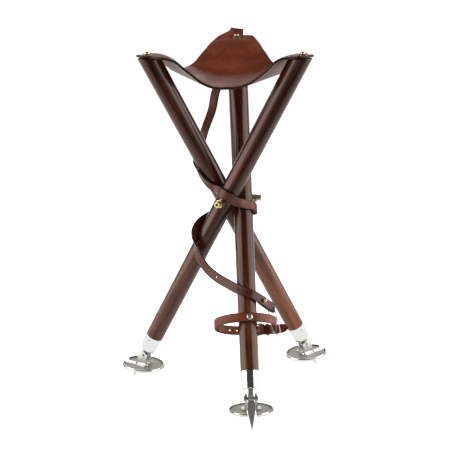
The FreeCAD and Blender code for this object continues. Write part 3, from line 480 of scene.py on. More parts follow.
def add_node(
    tree: bpy.types.NodeTree,
    kind: str,
    inputs: Optional[dict[Any, Any]] = None,
    stops: Sequence[tuple[float, str]] = (),
    **settings: Any,
) -> bpy.types.Node:
    """Adds a node, sets it up and wires its inputs.

    Args:
        tree: The node tree of a material or of the room.
        kind: The node's type.
        inputs: For each input, by name or number, a value or the output that feeds it.
        stops: For a colour ramp, places from 0 to 1, each with its hex colour.
        **settings: Properties of the node.

    Returns:
        The new node.
    """
    node = tree.nodes.new(kind)
    for name, setting in settings.items():
        setattr(node, name, setting)
    if stops:
        elements = node.color_ramp.elements
        while len(elements) < len(stops):
            elements.new(0.5)
        for element, (place, code) in zip(elements, stops):
            element.position = place
            element.color = linear(code)
    for key, given in (inputs or {}).items():
        socket = node.inputs[key]
        if isinstance(given, bpy.types.NodeSocket):
            tree.links.new(given, socket)
        else:
            socket.default_value = given
    return node


def empty_tree(owner: Any) -> bpy.types.NodeTree:
    """Gives a new material or world a node tree with nothing in it.

    Args:
        owner: The material or world.

    Returns:
        Its node tree.
    """
    owner.use_nodes = True
    owner.node_tree.nodes.clear()
    return owner.node_tree


@dataclass(frozen=True)
class StainedHardwood:
    """Turned beech, stained dark red-brown and lacquered: streaks along the leg under a gloss.

    Attributes:
        side: The leg whose own axes the grain follows.
        warmth: How much redder and lighter the lower half is, from 0 to 1.
        dark: Colour of the darkest streaks.
        middle: Colour between the streaks.
        light: Colour of the lightest streaks.
        warm: Colour of the lightest streaks in the lower half.
        pore: Colour of the open pores.
        shine: Tint of the lacquer's reflections.
    """

    side: Side
    warmth: float
    dark: str = "#190904"
    middle: str = "#37160c"
    light: str = "#572719"
    warm: str = "#9a5834"
    pore: str = "#150a08"
    shine: str = "#f0cfc0"

    def build(self) -> bpy.types.Material:
        """Makes the material.

        Returns:
            The material, its grain running up this leg.
        """
        material = bpy.data.materials.new(f"stained_hardwood_{self.side.word}")
        tree = empty_tree(material)
        place = add_node(tree, "ShaderNodeTexCoord").outputs["Object"]
        origin = STANCE.origin(self.side) * MM
        turn = Matrix(STANCE.axes(self.side).tolist()).to_euler()
        local = add_node(tree, "ShaderNodeMapping", {
            "Vector": place, "Location": tuple(origin), "Rotation": tuple(turn),
        }, vector_type="TEXTURE").outputs["Vector"]

        def grain(width: float, length: float, detail: float) -> Any:
            """Noise drawn out along the leg.

            Args:
                width: How wide its marks are, in millimetres.
                length: How long they are.
                detail: How much finer detail they carry.

            Returns:
                The noise's output.
            """
            scaled = add_node(tree, "ShaderNodeVectorMath", {
                0: local, 1: (1000 / width, 1000 / width, 1000 / length),
            }, operation="MULTIPLY").outputs[0]
            return add_node(tree, "ShaderNodeTexNoise", {
                "Vector": scaled, "Scale": 1.0, "Detail": detail, "Roughness": 0.6,
            }).outputs["Fac"]

        # Growth streaks of beech are 2 to 5 mm apart; the open pores are finer than a pixel, so
        # they are drawn 1.2 mm wide and 14 mm long.
        broad = grain(9.0, 160.0, 2.0)
        streak = grain(2.6, 60.0, 3.0)
        pores = grain(1.2, 14.0, 2.0)
        both = add_node(tree, "ShaderNodeMath", {0: broad, 1: streak}, operation="ADD").outputs[0]
        tone = add_node(tree, "ShaderNodeMapRange", {
            "Value": both, "From Min": 0.75, "From Max": 1.3,
        }).outputs["Result"]
        cool = add_node(tree, "ShaderNodeValToRGB", {"Fac": tone}, stops=[
            (0.0, self.dark), (0.5, self.middle), (1.0, self.light),
        ]).outputs["Color"]
        warm = add_node(tree, "ShaderNodeValToRGB", {"Fac": tone}, stops=[
            (0.0, self.middle), (1.0, self.warm),
        ]).outputs["Color"]
        # The wood turns redder and lighter below the bolt, from 20 mm down to 160 mm.
        height = add_node(tree, "ShaderNodeSeparateXYZ", {0: local}).outputs["Z"]
        low = add_node(tree, "ShaderNodeMapRange", {
            "Value": height, "From Min": -0.02, "From Max": -0.16, "To Max": self.warmth,
        }).outputs["Result"]
        stain = add_node(tree, "ShaderNodeMix", {
            0: low, 6: cool, 7: warm,
        }, data_type="RGBA").outputs[2]
        # Stain gathers in the pores, and the lacquer leaves them as shallow dents.
        pore = add_node(tree, "ShaderNodeMapRange", {
            "Value": pores, "From Min": 0.6, "From Max": 0.7,
        }).outputs["Result"]
        depth = add_node(tree, "ShaderNodeMath", {0: pore, 1: 0.55}, operation="MULTIPLY")
        colour = add_node(tree, "ShaderNodeMix", {
            0: depth.outputs[0], 6: stain, 7: linear(self.pore),
        }, data_type="RGBA").outputs[2]
        rough = add_node(tree, "ShaderNodeMapRange", {
            "Value": streak, "From Min": 0.3, "From Max": 0.7, "To Min": 0.2, "To Max": 0.28,
        }).outputs["Result"]
        dents = add_node(tree, "ShaderNodeBump", {
            "Height": pore, "Strength": 0.1, "Distance": -0.0001,
        }).outputs["Normal"]
        shader = add_node(tree, "ShaderNodeBsdfPrincipled", {
            "Base Color": colour, "Roughness": rough, "IOR": 1.5,
            "Specular Tint": linear(self.shine), "Coat Weight": 0.25, "Coat Roughness": 0.16,
            "Normal": dents,
        }).outputs["BSDF"]
        add_node(tree, "ShaderNodeOutputMaterial", {"Surface": shader})
        return material


class Hide(Enum):
    """The leathers: name, dark tone, body tone, worn tone, burnished edge and roughness."""

    SEAT = ("seat_leather", "#47190d", "#632915", "#7c3a20", "#160907", 0.48)
    STRAP = ("strap_leather", "#34140c", "#4d2217", "#643223", "#140806", 0.38)
    BELT = ("belt_leather", "#572619", "#783827", "#904c38", "#1d0c08", 0.42)


@dataclass(frozen=True)
class BridleLeather:
    """Vegetable-tanned cowhide, waxed and rubbed: fine grain, cloudy dye and dark cut edges.

    Attributes:
        hide: Which of the leathers.
        cloud: Size of the clouds in the dye, in millimetres.
        fleck: Size of its flecks.
        scale: Size of the grain cells. Real ones are 0.4 mm, too fine to show.
        shine: Tint of the wax's reflections.
    """

    hide: Hide
    cloud: float = 60.0
    fleck: float = 4.0
    scale: float = 1.3
    shine: str = "#f0cfc0"

    def build(self) -> bpy.types.Material:
        """Makes the material.

        Returns:
            The material, which reads how near a cut edge is from the mesh.
        """
        name, dark, body, worn, edge_tone, roughness = self.hide.value
        material = bpy.data.materials.new(name)
        tree = empty_tree(material)
        place = add_node(tree, "ShaderNodeTexCoord").outputs["Object"]
        cloud = add_node(tree, "ShaderNodeTexNoise", {
            "Vector": place, "Scale": 1000 / self.cloud, "Detail": 3.0, "Roughness": 0.5,
        }).outputs["Fac"]
        fleck = add_node(tree, "ShaderNodeTexNoise", {
            "Vector": place, "Scale": 1000 / self.fleck, "Detail": 3.0, "Roughness": 0.6,
        }).outputs["Fac"]
        both = add_node(tree, "ShaderNodeMath", {0: cloud, 1: fleck}, operation="ADD").outputs[0]
        tone = add_node(tree, "ShaderNodeMapRange", {
            "Value": both, "From Min": 0.7, "From Max": 1.3,
        }).outputs["Result"]
        dye = add_node(tree, "ShaderNodeValToRGB", {"Fac": tone}, stops=[
            (0.0, dark), (0.5, body), (1.0, worn),
        ]).outputs["Color"]
        edge = add_node(tree, "ShaderNodeAttribute", attribute_name="edge").outputs["Fac"]
        colour = add_node(tree, "ShaderNodeMix", {
            0: edge, 6: dye, 7: linear(edge_tone),
        }, data_type="RGBA").outputs[2]
        rough = add_node(tree, "ShaderNodeMapRange", {
            "Value": cloud, "From Min": 0.35, "From Max": 0.65,
            "To Min": roughness + 0.07, "To Max": roughness - 0.07,
        }).outputs["Result"]
        if self.hide is Hide.SEAT:
            # Sitting has burnished the middle of the seat, out to about 100 mm.
            flat = add_node(tree, "ShaderNodeVectorMath", {
                0: place, 1: (1.0, 1.0, 0.0),
            }, operation="MULTIPLY").outputs[0]
            away = add_node(tree, "ShaderNodeVectorMath", {0: flat}, operation="LENGTH")
            dull = add_node(tree, "ShaderNodeMapRange", {
                "Value": away.outputs["Value"], "From Min": 0.07, "From Max": 0.125,
                "To Min": 0.74, "To Max": 1.25,
            }).outputs["Result"]
            rough = add_node(tree, "ShaderNodeMath", {
                0: rough, 1: dull,
            }, operation="MULTIPLY").outputs[0]
        cells = add_node(tree, "ShaderNodeTexVoronoi", {
            "Vector": place, "Scale": 1000 / self.scale,
        }, feature="DISTANCE_TO_EDGE").outputs["Distance"]
        soft = add_node(tree, "ShaderNodeBump", {
            "Height": cloud, "Strength": 0.2, "Distance": 0.0010,
        }).outputs["Normal"]
        grain = add_node(tree, "ShaderNodeBump", {
            "Height": cells, "Strength": 0.25, "Distance": 0.00025, "Normal": soft,
        }).outputs["Normal"]
        shader = add_node(tree, "ShaderNodeBsdfPrincipled", {
            "Base Color": colour, "Roughness": rough, "IOR": 1.48,
            "Specular Tint": linear(self.shine), "Coat Weight": 0.1, "Coat Roughness": 0.3,
            "Normal": grain,
        }).outputs["BSDF"]
        add_node(tree, "ShaderNodeOutputMaterial", {"Surface": shader})
        return material


class Alloy(Enum):
    """The metals: name, colour, roughness, and depth of handling marks from 0 to 1."""

    BRASS = ("lacquered_brass", "#dfcca0", 0.3, 0.4)
    FERRULE = ("polished_aluminium", "#e6e5e1", 0.14, 0.3)
    SPIKE = ("ground_steel", "#cecbc7", 0.4, 0.7)
    PLATE = ("polished_plate_rim", "#e2e1dc", 0.18, 0.3)
    EAR = ("bright_steel", "#e3e2de", 0.3, 0.4)
    PIVOT = ("bright_steel_pin", "#dcdad4", 0.3, 0.4)
    BOLT = ("plain_steel", "#a5a19a", 0.34, 0.7)
    CROSS_PIN = ("filed_steel_pin", "#b5b1aa", 0.38, 0.7)
    NICKEL = ("nickel_plate", "#dcd8cf", 0.3, 0.4)
    BUCKLE = ("browned_steel_buckle", "#5a5048", 0.4, 0.6)


@dataclass(frozen=True)
class BareMetal:
    """A metal surface: an even colour whose gloss changes a little where it was handled.

    Attributes:
        alloy: Which of the metals.
        satin: For a dished plate, the middle and the radius of its satin face in mm.
        satin_tone: Colour of the satin face.
        lip_tone: Colour of the painted shade in a thin ring just inside the rim, where its inner
            wall stands in shadow.
        mark: Size of the handling marks in mm.
        line: Spacing of the polishing lines, drawn coarse enough to show.
    """

    alloy: Alloy
    satin: Optional[tuple[float, float, float]] = None
    satin_tone: str = "#a2a196"
    lip_tone: str = "#3c3a34"
    mark: float = 6.0
    line: float = 0.8

    def build(self) -> bpy.types.Material:
        """Makes the material.

        Returns:
            The material, with a satin face inside the rim of a dished plate.
        """
        name, code, roughness, marks = self.alloy.value
        material = bpy.data.materials.new(name)
        tree = empty_tree(material)
        place = add_node(tree, "ShaderNodeTexCoord").outputs["Object"]
        cloud = add_node(tree, "ShaderNodeTexNoise", {
            "Vector": place, "Scale": 1000 / self.mark, "Detail": 4.0,
        }).outputs["Fac"]
        drawn = add_node(tree, "ShaderNodeVectorMath", {
            0: place, 1: (1.0, 1.0, 0.12),
        }, operation="MULTIPLY").outputs[0]
        lines = add_node(tree, "ShaderNodeTexNoise", {
            "Vector": drawn, "Scale": 1000 / self.line, "Detail": 2.0,
        }).outputs["Fac"]
        # Where it was handled the metal is darker and duller.
        base = linear(code)
        worn =tuple(0.72 * c for c in base[:3]) + (1.0,)
        share = add_node(tree, "ShaderNodeMapRange", {
            "Value": cloud, "From Min": 0.55, "From Max": 0.8, "To Max": 0.6 * marks,
        }).outputs["Result"]
        colour = add_node(tree, "ShaderNodeMix", {
            0: share, 6: base, 7: worn,
        }, data_type="RGBA").outputs[2]
        rough = add_node(tree, "ShaderNodeMapRange", {
            "Value": cloud, "From Min": 0.3, "From Max": 0.7,
            "To Min": roughness - 0.05, "To Max": roughness + 0.12 * marks,
        }).outputs["Result"]
        metallic = 1.0
        if self.satin:
            # The face inside the rim is greyer and less of a mirror, with painted shade in a thin
            # ring at its edge, where the rim's inner wall is in shadow.
            centre_x, centre_y, radius = (size * MM for size in self.satin)
            flat = add_node(tree, "ShaderNodeVectorMath", {
                0: place, 1: (1.0, 1.0, 0.0),
            }, operation="MULTIPLY").outputs[0]
            away = add_node(tree, "ShaderNodeVectorMath", {
                0: flat, 1: (centre_x, centre_y, 0.0),
            }, operation="DISTANCE").outputs["Value"]
            inside = add_node(tree, "ShaderNodeMapRange", {
                "Value": away, "From Min": radius - 0.0002, "From Max": radius + 0.0002,
                "To Min": 1.0, "To Max": 0.0,
            }).outputs["Result"]
            # Painted shade: a dark ring in the last 1.8 mm inside the rim, standing in for the
            # shadow of the rim's inner wall.
            rim_shade = add_node(tree, "ShaderNodeMapRange", {
                "Value": away, "From Min": radius - 0.0018, "From Max": radius - 0.0008,
            }).outputs["Result"]
            face = add_node(tree, "ShaderNodeMix", {
                0: rim_shade, 6: linear(self.satin_tone), 7: linear(self.lip_tone),
            }, data_type="RGBA").outputs[2]
            colour = add_node(tree, "ShaderNodeMix", {
                0: inside, 6: colour, 7: face,
            }, data_type="RGBA").outputs[2]
            rough = add_node(tree, "ShaderNodeMath", {
                0: inside, 1: 0.34, 2: rough,
            }, operation="MULTIPLY_ADD").outputs[0]
            metallic = add_node(tree, "ShaderNodeMapRange", {
                "Value": inside, "To Min": 1.0, "To Max": 0.35,
            }).outputs["Result"]
        brushed = add_node(tree, "ShaderNodeBump", {
            "Height": lines, "Strength": 0.06 * marks, "Distance": 0.0001,
        }).outputs["Normal"]
        shader = add_node(tree, "ShaderNodeBsdfPrincipled", {
            "Base Color": colour, "Metallic": metallic, "Roughness": rough, "Normal": brushed,
        }).outputs["BSDF"]
        add_node(tree, "ShaderNodeOutputMaterial", {"Surface": shader})
        return material


@dataclass
class Workshop:
    """Keeps one copy of each finish and puts it on pieces.

    Attributes:
        made: The material of each finish that is in use.
    """

    made: dict[Any, bpy.types.Material] = field(default_factory=dict)

    def coat(self, piece: bpy.types.Object, finish: Any) -> None:
        """Gives a piece its finish as its only material.

        Args:
            piece: The piece or solid.
            finish: One of the finish classes.
        """
        if finish not in self.made:
            self.made[finish] = finish.build()
        piece.data.materials.clear()
        piece.data.materials.append(self.made[finish])


# The stool's parts


@dataclass
class LeatherSeat:
    """The slung seat: three wings that share a level middle and rise to the leg tops.

    Attributes:
        thickness: The leather's thickness.
        sag: How far the middle hangs below the leg tops.
        sag_forward: How much deeper it hangs for each millimetre towards the front.
        sag_right: How much deeper it hangs for each millimetre to the right.
        climb: The rise that a wing's profile is drawn for, before it is scaled to the sag.
        edge: From the middle to the middle of each straight edge.
        beyond: How far a tip reaches past the middle of the leg's top.
        rise_degrees: The profile's steepest slope.
        lower_bend: Radius of the bend out of the level middle.
        upper_bend: Radius of the bend into the level corner.
        drape: How far a wing's sides hang below its middle where they hang most.
        drape_at: How far out that is.
        drape_reach: How far from there it has died away by two thirds.
        curl: How far the front wing's shoulders turn up.
        curl_at: How far before the tip they do.
        curl_reach: How far from there it has died away by two thirds.
        lifted: Bearings of the two rear edges, whose middles stand higher.
        rear_lift: By how much.
        rear_spread: How far from there it has died away by two thirds.
        gap: Clearance between the leather and the leg's top.
        rounding: Radius of the rounded cut edges.
        blunting: How far along a wing's sides the rounding takes to start.
        tongue: Half the width of the tongue at each tip.
        shoulder: Length over which the straight edge passes into the tongue.
        shoulder_start: How far before the tip that starts.
        late_shoulder: The same for the left side of the front wing, seen from the front.
        turned: Length of the tip that turns up.
        turn_power: How suddenly it does: the power of the distance along that length.
        left_power: The same for the tip's left side.
        left_from: Where the left side starts, as a share of the half width.
        left_width: The share of the half width over which one power passes into the other.
        turn_tilt: How much further the left side turns up, as a share.
        hollow: How far the rear wings' ends are hollowed.
        burnish: Width of the dark cut edge.
        bend_end: How far before its tip a wing would start to follow its leg alone. Not used.
        middle_rows: Rows of points from the middle to where the straight edges start.
        edge_rows: Rows from there to the tip.
        points_across: Points across each face.
        rise_start: How far out each wing starts to rise.
        tip_turn: How far each tip turns up.
    """

    thickness: float = 4.0
    sag: float = 43.5
    sag_forward: float = 0.064
    sag_right: float = -0.025
    climb: float = 52.0
    edge: float = 95.0
    beyond: float = 18.0
    rise_degrees: float = 49.6
    lower_bend: float = 46.0
    upper_bend: float = 21.0
    drape: float = 5.6
    drape_at: float = 110.0
    drape_reach: float = 18.0
    curl: float = 4.5
    curl_at: float = 22.0
    curl_reach: float = 14.0
    lifted: tuple[float, float] = (150.0, 30.0)
    rear_lift: float = 2.5
    rear_spread: float = 36.0
    gap: float = 0.3
    rounding: float = 1.1
    blunting: float = 1.5
    tongue: float = 11.0
    shoulder: float = 14.0
    shoulder_start: float = 25.0
    late_shoulder: float = 14.0
    turned: float = 26.0
    turn_power: float = 5.0
    left_power: float = 2.0
    left_from: float = 0.35
    left_width: float = 0.4
    turn_tilt: float = 0.1
    hollow: float = 2.2
    burnish: float = 2.2
    bend_end: float = 34.0
    middle_rows: int = 21
    edge_rows: int = 74
    points_across: int = 41
    rise_start: dict[Side, float] = field(default_factory=lambda: {
        Side.FRONT: 46.8, Side.REAR_RIGHT: 49.7, Side.REAR_LEFT: 56.8,
    })
    tip_turn: dict[Side, float] = field(default_factory=lambda: {
        Side.FRONT: 14.0, Side.REAR_RIGHT: 0.5, Side.REAR_LEFT: 0.5,
    })

    @property
    def tip(self) -> float:
        """How far a wing reaches from the middle."""
        return STANCE.corner_reach + self.beyond

    def profile(self, side: Side, distance: np.ndarray) -> tuple[np.ndarray, np.ndarray]:
        """How far the leather has risen at a distance from the middle, and its slope.

        Level at first, then an arc up to the rise angle, a straight climb and an arc back to
        level where the leather meets the leg's top.

        Args:
            side: The wing's leg.
            distance: Distances along the wing.

        Returns:
            The share of the full rise, from 0 to 1, and the slope angles.
        """
        rise = math.radians(self.rise_degrees)
        in_bends = (self.lower_bend + self.upper_bend) * (1 - math.cos(rise))
        first = self.rise_start[side] + self.lower_bend * math.sin(rise)
        second = first + (self.climb - in_bends) / math.tan(rise)
        last = second + self.upper_bend * math.sin(rise)
        lower = np.clip((distance - self.rise_start[side]) / self.lower_bend, 0, math.sin(rise))
        upper = np.clip((last - distance) / self.upper_bend, 0, math.sin(rise))
        height = self.lower_bend * (1 - np.sqrt(1 - lower ** 2))
        height = height + np.clip(distance - first, 0, second - first) * math.tan(rise)
        height = height + self.upper_bend * (np.sqrt(1 - upper ** 2) - math.cos(rise))
        return height / self.climb, np.minimum(np.arcsin(lower), np.arcsin(upper))

    def half_width(self, distance: np.ndarray, start: float) -> np.ndarray:
        """Half the wing's width: a wedge from the middle, the seat's straight edge, then a tongue.

        Args:
            distance: Distances along the wing.
            start: How far before the tip the straight edge starts to pass into the tongue.

        Returns:
            Half widths.
        """
        wedge = distance * math.sqrt(3)
        edge = (2 * self.edge - distance) / math.sqrt(3)
        shoulder = np.clip((distance - self.tip + start) / self.shoulder, 0, 1)
        shoulder = shoulder ** 2 * (3 - 2 * shoulder)
        edge = edge * (1 - shoulder) + self.tongue * shoulder
        return np.minimum(wedge, edge)

    def section(
        self, half: np.ndarray, rim: np.ndarray, top: np.ndarray
    ) -> tuple[np.ndarray, np.ndarray]:
        """The rows' outlines, once round the leather.

        Each goes over the top, round the rounded cut edge, back underneath and up the other cut
        edge. The edges are quarter circles, cut off at the height of the row's top.

        Args:
            half: Half the width of each row.
            rim: Radius of each row's rounded edges.
            top: Height of each row's top over the middle of the leather.

        Returns:
            How far across and how high each point lies, rows x points.
        """
        share = np.linspace(-1, 1, self.points_across)[None, :]
        across, level = [], []
        for sign in (1, -1):
            across.append(sign * share * (half - rim)[:, None])
            level.append(sign * np.ones_like(share) * top[:, None])
            for angle, way in ((QUARTER, 1), (QUARTER[::-1], -1)):
                out = (half - rim)[:, None] + rim[:, None] * np.sin(angle)[None, :]
                lift = self.thickness / 2 - rim[:, None] * (1 - np.cos(angle))[None, :]
                lift = np.minimum(lift, top[:, None])
                across.append(sign * out)
                level.append(sign * way * lift)
        return np.concatenate(across, axis=1), np.concatenate(level, axis=1)

    def droop(
        self, side: Side, right: np.ndarray, back: np.ndarray, reach: np.ndarray, ratio: np.ndarray
    ) -> np.ndarray:
        """How far the leather hangs below its profile: the sum of a few soft bumps.

        Each bump dies away as a bell curve. Those of the sides also grow with the square of the
        share across.

        Args:
            side: The wing's leg.
            right: How far to the right of the middle each point lies.
            back: How far behind the middle.
            reach: How far along the wing.
            ratio: How far across, as a share of the half width.

        Returns:
            The drop at each point, less than 0 where the leather stands higher.
        """
        fall = -((reach - self.drape_at) / self.drape_reach) ** 2
        low = self.drape * ratio ** 2 * np.exp(fall)
        if side is Side.FRONT:
            fall = -((reach - self.tip + self.curl_at) / self.curl_reach) ** 2
            low = low - self.curl * ratio ** 2 * np.exp(fall)
        for bearing in self.lifted:
            spot = self.edge * bearing_ray(bearing - STANCE.seat_turn)
            away = ((right - spot[0]) ** 2 + (back - spot[1]) ** 2) / self.rear_spread ** 2
            low = low - self.rear_lift * np.exp(-away)
        return low

    def wing(self, side: Side) -> bpy.types.Object:
        """One wing of the seat.

        Rows run out from the middle, and each goes once round the leather. The last rows close
        the tip the way the sides are rounded. A point of the leather's middle stands at the
        height of the leg tops, less the share of the sag that the profile hasn't risen yet, less
        the droop, and more by the tip's turn, which grows with a power of the distance. The
        thickness is laid off square to the profile's slope.

        Args:
            side: The leg that the wing is screwed to.

        Returns:
            The wing.
        """
        start = self.edge / 2
        # The first row stands a hair out from the middle, so that its points don't fall together.
        distance = np.concatenate([
            np.linspace(0.02, start, self.middle_rows + 1)[:-1],
            np.linspace(start, self.tip - self.rounding, self.edge_rows),
            self.tip - self.rounding * (1 - np.sin(QUARTER)),
        ])
        shrink = np.concatenate([np.zeros(len(distance) - len(QUARTER)), 1 - np.cos(QUARTER)])
        rim = np.clip((distance - start) / self.blunting, 0, 1) * self.rounding
        half = self.half_width(distance, self.shoulder_start)
        thick = self.thickness / 2
        across, level = self.section(half, rim, thick - self.rounding * shrink)
        ratio = across / np.maximum(half, 1e-6)[:, None]
        side_at = np.broadcast_to(half[:, None], across.shape)
        hollow = self.hollow
        if side is Side.FRONT:
            # The left shoulder of this corner was cut nearer to the tip, and its end is straight.
            wide = self.half_width(distance, self.late_shoulder)
            side_at = np.where(across > 0, wide[:, None], side_at)
            across = np.where(across > 0, across * (wide / half)[:, None], across)
            hollow = 0.0
        end = np.clip((distance - self.tip + self.turned) / self.turned, 0, 1)[:, None]
        reach = distance[:, None] - hollow * end * (1 - ratio ** 2)
        risen, slope = self.profile(side, reach)
        turn = STANCE.corner_bearing(side)
        right = reach * math.cos(turn) - across * math.sin(turn)
        back = reach * math.sin(turn) + across * math.cos(turn)
        sag = self.sag - self.sag_forward * back + self.sag_right * right
        low = self.droop(side, right, back, reach, ratio)
        # The tip turns up past the screw's washer, and sooner on its left.
        left = np.clip((ratio - self.left_from) / self.left_width, 0, 1)
        power = self.turn_power - (self.turn_power - self.left_power) * left
        x = reach - (thick + level) * np.sin(slope)
        z = STANCE.seat_height + self.gap - sag * (1 - risen) - low
        z = z + (thick + level) * np.cos(slope)
        z = z + self.tip_turn[side] * (1 + self.turn_tilt * ratio) * end ** power
        points = np.stack([x, across, z], axis=-1).reshape(-1, 3)
        points = points @ turn_about("Z", turn).T
        line = self.edge - distance[:, None] / 2 - np.abs(across) * math.sqrt(0.75)
        cut = np.where(distance[:, None] > start, side_at - np.abs(across), line)
        cut = np.minimum(cut, self.tip - distance[:, None])
        edge = np.clip(1 - cut / self.burnish, 0, 1)
        uv = np.stack([x, across], axis=-1).reshape(-1, 2)
        faces = tube_faces(*across.shape, True)
        return make_piece(f"seat_wing_{side.word}", points, faces, uv, edge.ravel())

    def build(self, shop: Workshop) -> list[bpy.types.Object]:
        """Makes the three wings, each rising from the level middle to its leg's top.

        Args:
            shop: The finishes.

        Returns:
            The wings.
        """
        wings = []
        for side in Side:
            wing = self.wing(side)
            shop.coat(wing, BridleLeather(Hide.SEAT))
            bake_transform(wing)
            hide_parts("seat")
            wings.append(wing)
        return wings


def on_leg(
    side: Side, along: float, bearing: float, standoff: float, facing: float, half: float
) -> tuple[np.ndarray, np.ndarray]:
    """A point of a strap that lies against or near a leg.

    Args:
        side: The leg.
        along: How far up the leg from the bolt.
        bearing: The point's bearing about the leg, from the leg's arm.
        standoff: The strap's distance from the wood.
        facing: The bearing that its outer face looks along.
        half: Half the strap's thickness.

    Returns:
        The strap's middle, and the way it faces.
    """
    reach = STANCE.radius(along) + standoff + half
    axes = STANCE.axes(side)
    spot = bearing_ray(bearing) * reach + UP * along
    return STANCE.origin(side) + axes @ spot, axes @ bearing_ray(facing)


# The strap's route from its screw down to the ring. Each row says, as on_leg does, by which leg
# the strap passes, how far up it, at what bearing, how far off the wood and facing which way.
CLOSE = 1.0
STRAP_ROUTE = [
    (Side.FRONT, 262, -142, 0.3, -142),
    (Side.FRONT, 251, -142, 0.3, -142),
    (Side.FRONT, 240, -142, 0.3, -142),
    (Side.FRONT, 221, -176, 5.6, -137),
    (Side.FRONT, 201, -179, 18.5, -117),
    (Side.FRONT, 161, -179, 28.8, -116),
    (Side.FRONT, 121, -170, 43.9, -121),
    (Side.REAR_RIGHT, 85, -23, 10.5, 88),
    (Side.REAR_RIGHT, 79, 20, 3, 45),
    (Side.REAR_RIGHT, 74, 52, 1.2, 60),
    (Side.REAR_RIGHT, 67, 78, CLOSE, 78),
    (Side.REAR_RIGHT, 55, 88, CLOSE, 88),
    (Side.REAR_RIGHT, 44, 104, CLOSE, 104),
    (Side.REAR_RIGHT, 33, 127, CLOSE, 127),
    (Side.REAR_LEFT, 16, -38, CLOSE, -38),
    (Side.REAR_LEFT, 18, -11, 2.2, -11),
    (Side.REAR_LEFT, 19, 25, 2.2, 25),
    (Side.REAR_LEFT, 15, 58, CLOSE, 58),
    (Side.FRONT, -17, -72, CLOSE, -72),
    (Side.FRONT, -17, -38, 2.5, -38),
    (Side.FRONT, -20, -5, 5, -5),
    (Side.FRONT, -19, 30, 6, 30),
    (Side.REAR_RIGHT, -42, -85, 5.3, -75),
    (Side.REAR_RIGHT, -35, -20, 4.5, -27),
    (Side.REAR_LEFT, -46, -154, 26.9, -116),
    (Side.REAR_LEFT, -49, -127, 6.9, -122),
    (Side.REAR_LEFT, -60, -89, 5, -131),
    (Side.REAR_LEFT, -72, -61, 5.2, -136),
    (Side.REAR_LEFT, -82, -31, 5.4, -112),
    (Side.REAR_LEFT, -92, -1, 7.7, -66),
    (Side.REAR_LEFT, -99, 19, 14.1, -42),
    (Side.REAR_LEFT, -104, 34, 22.6, -30),
    (Side.REAR_LEFT, -108, 48, 37.4, -10),
    (Side.FRONT, -135, 165, 33.6, -135),
    (Side.FRONT, -150, -179, 14.1, -120),
    (Side.FRONT, -164, -132, 3, -105),
    (Side.FRONT, -170, -93, 2, -93),
    (Side.FRONT, -174, -63, 3.2, -80),
    (Side.FRONT, -177, -36, 3.4, -68),
    (Side.FRONT, -181, -3, 9.6, -59),
    (Side.FRONT, -186, 14, 20.5, -49),
    (Side.FRONT, -190, 23, 33.9, -42),
]


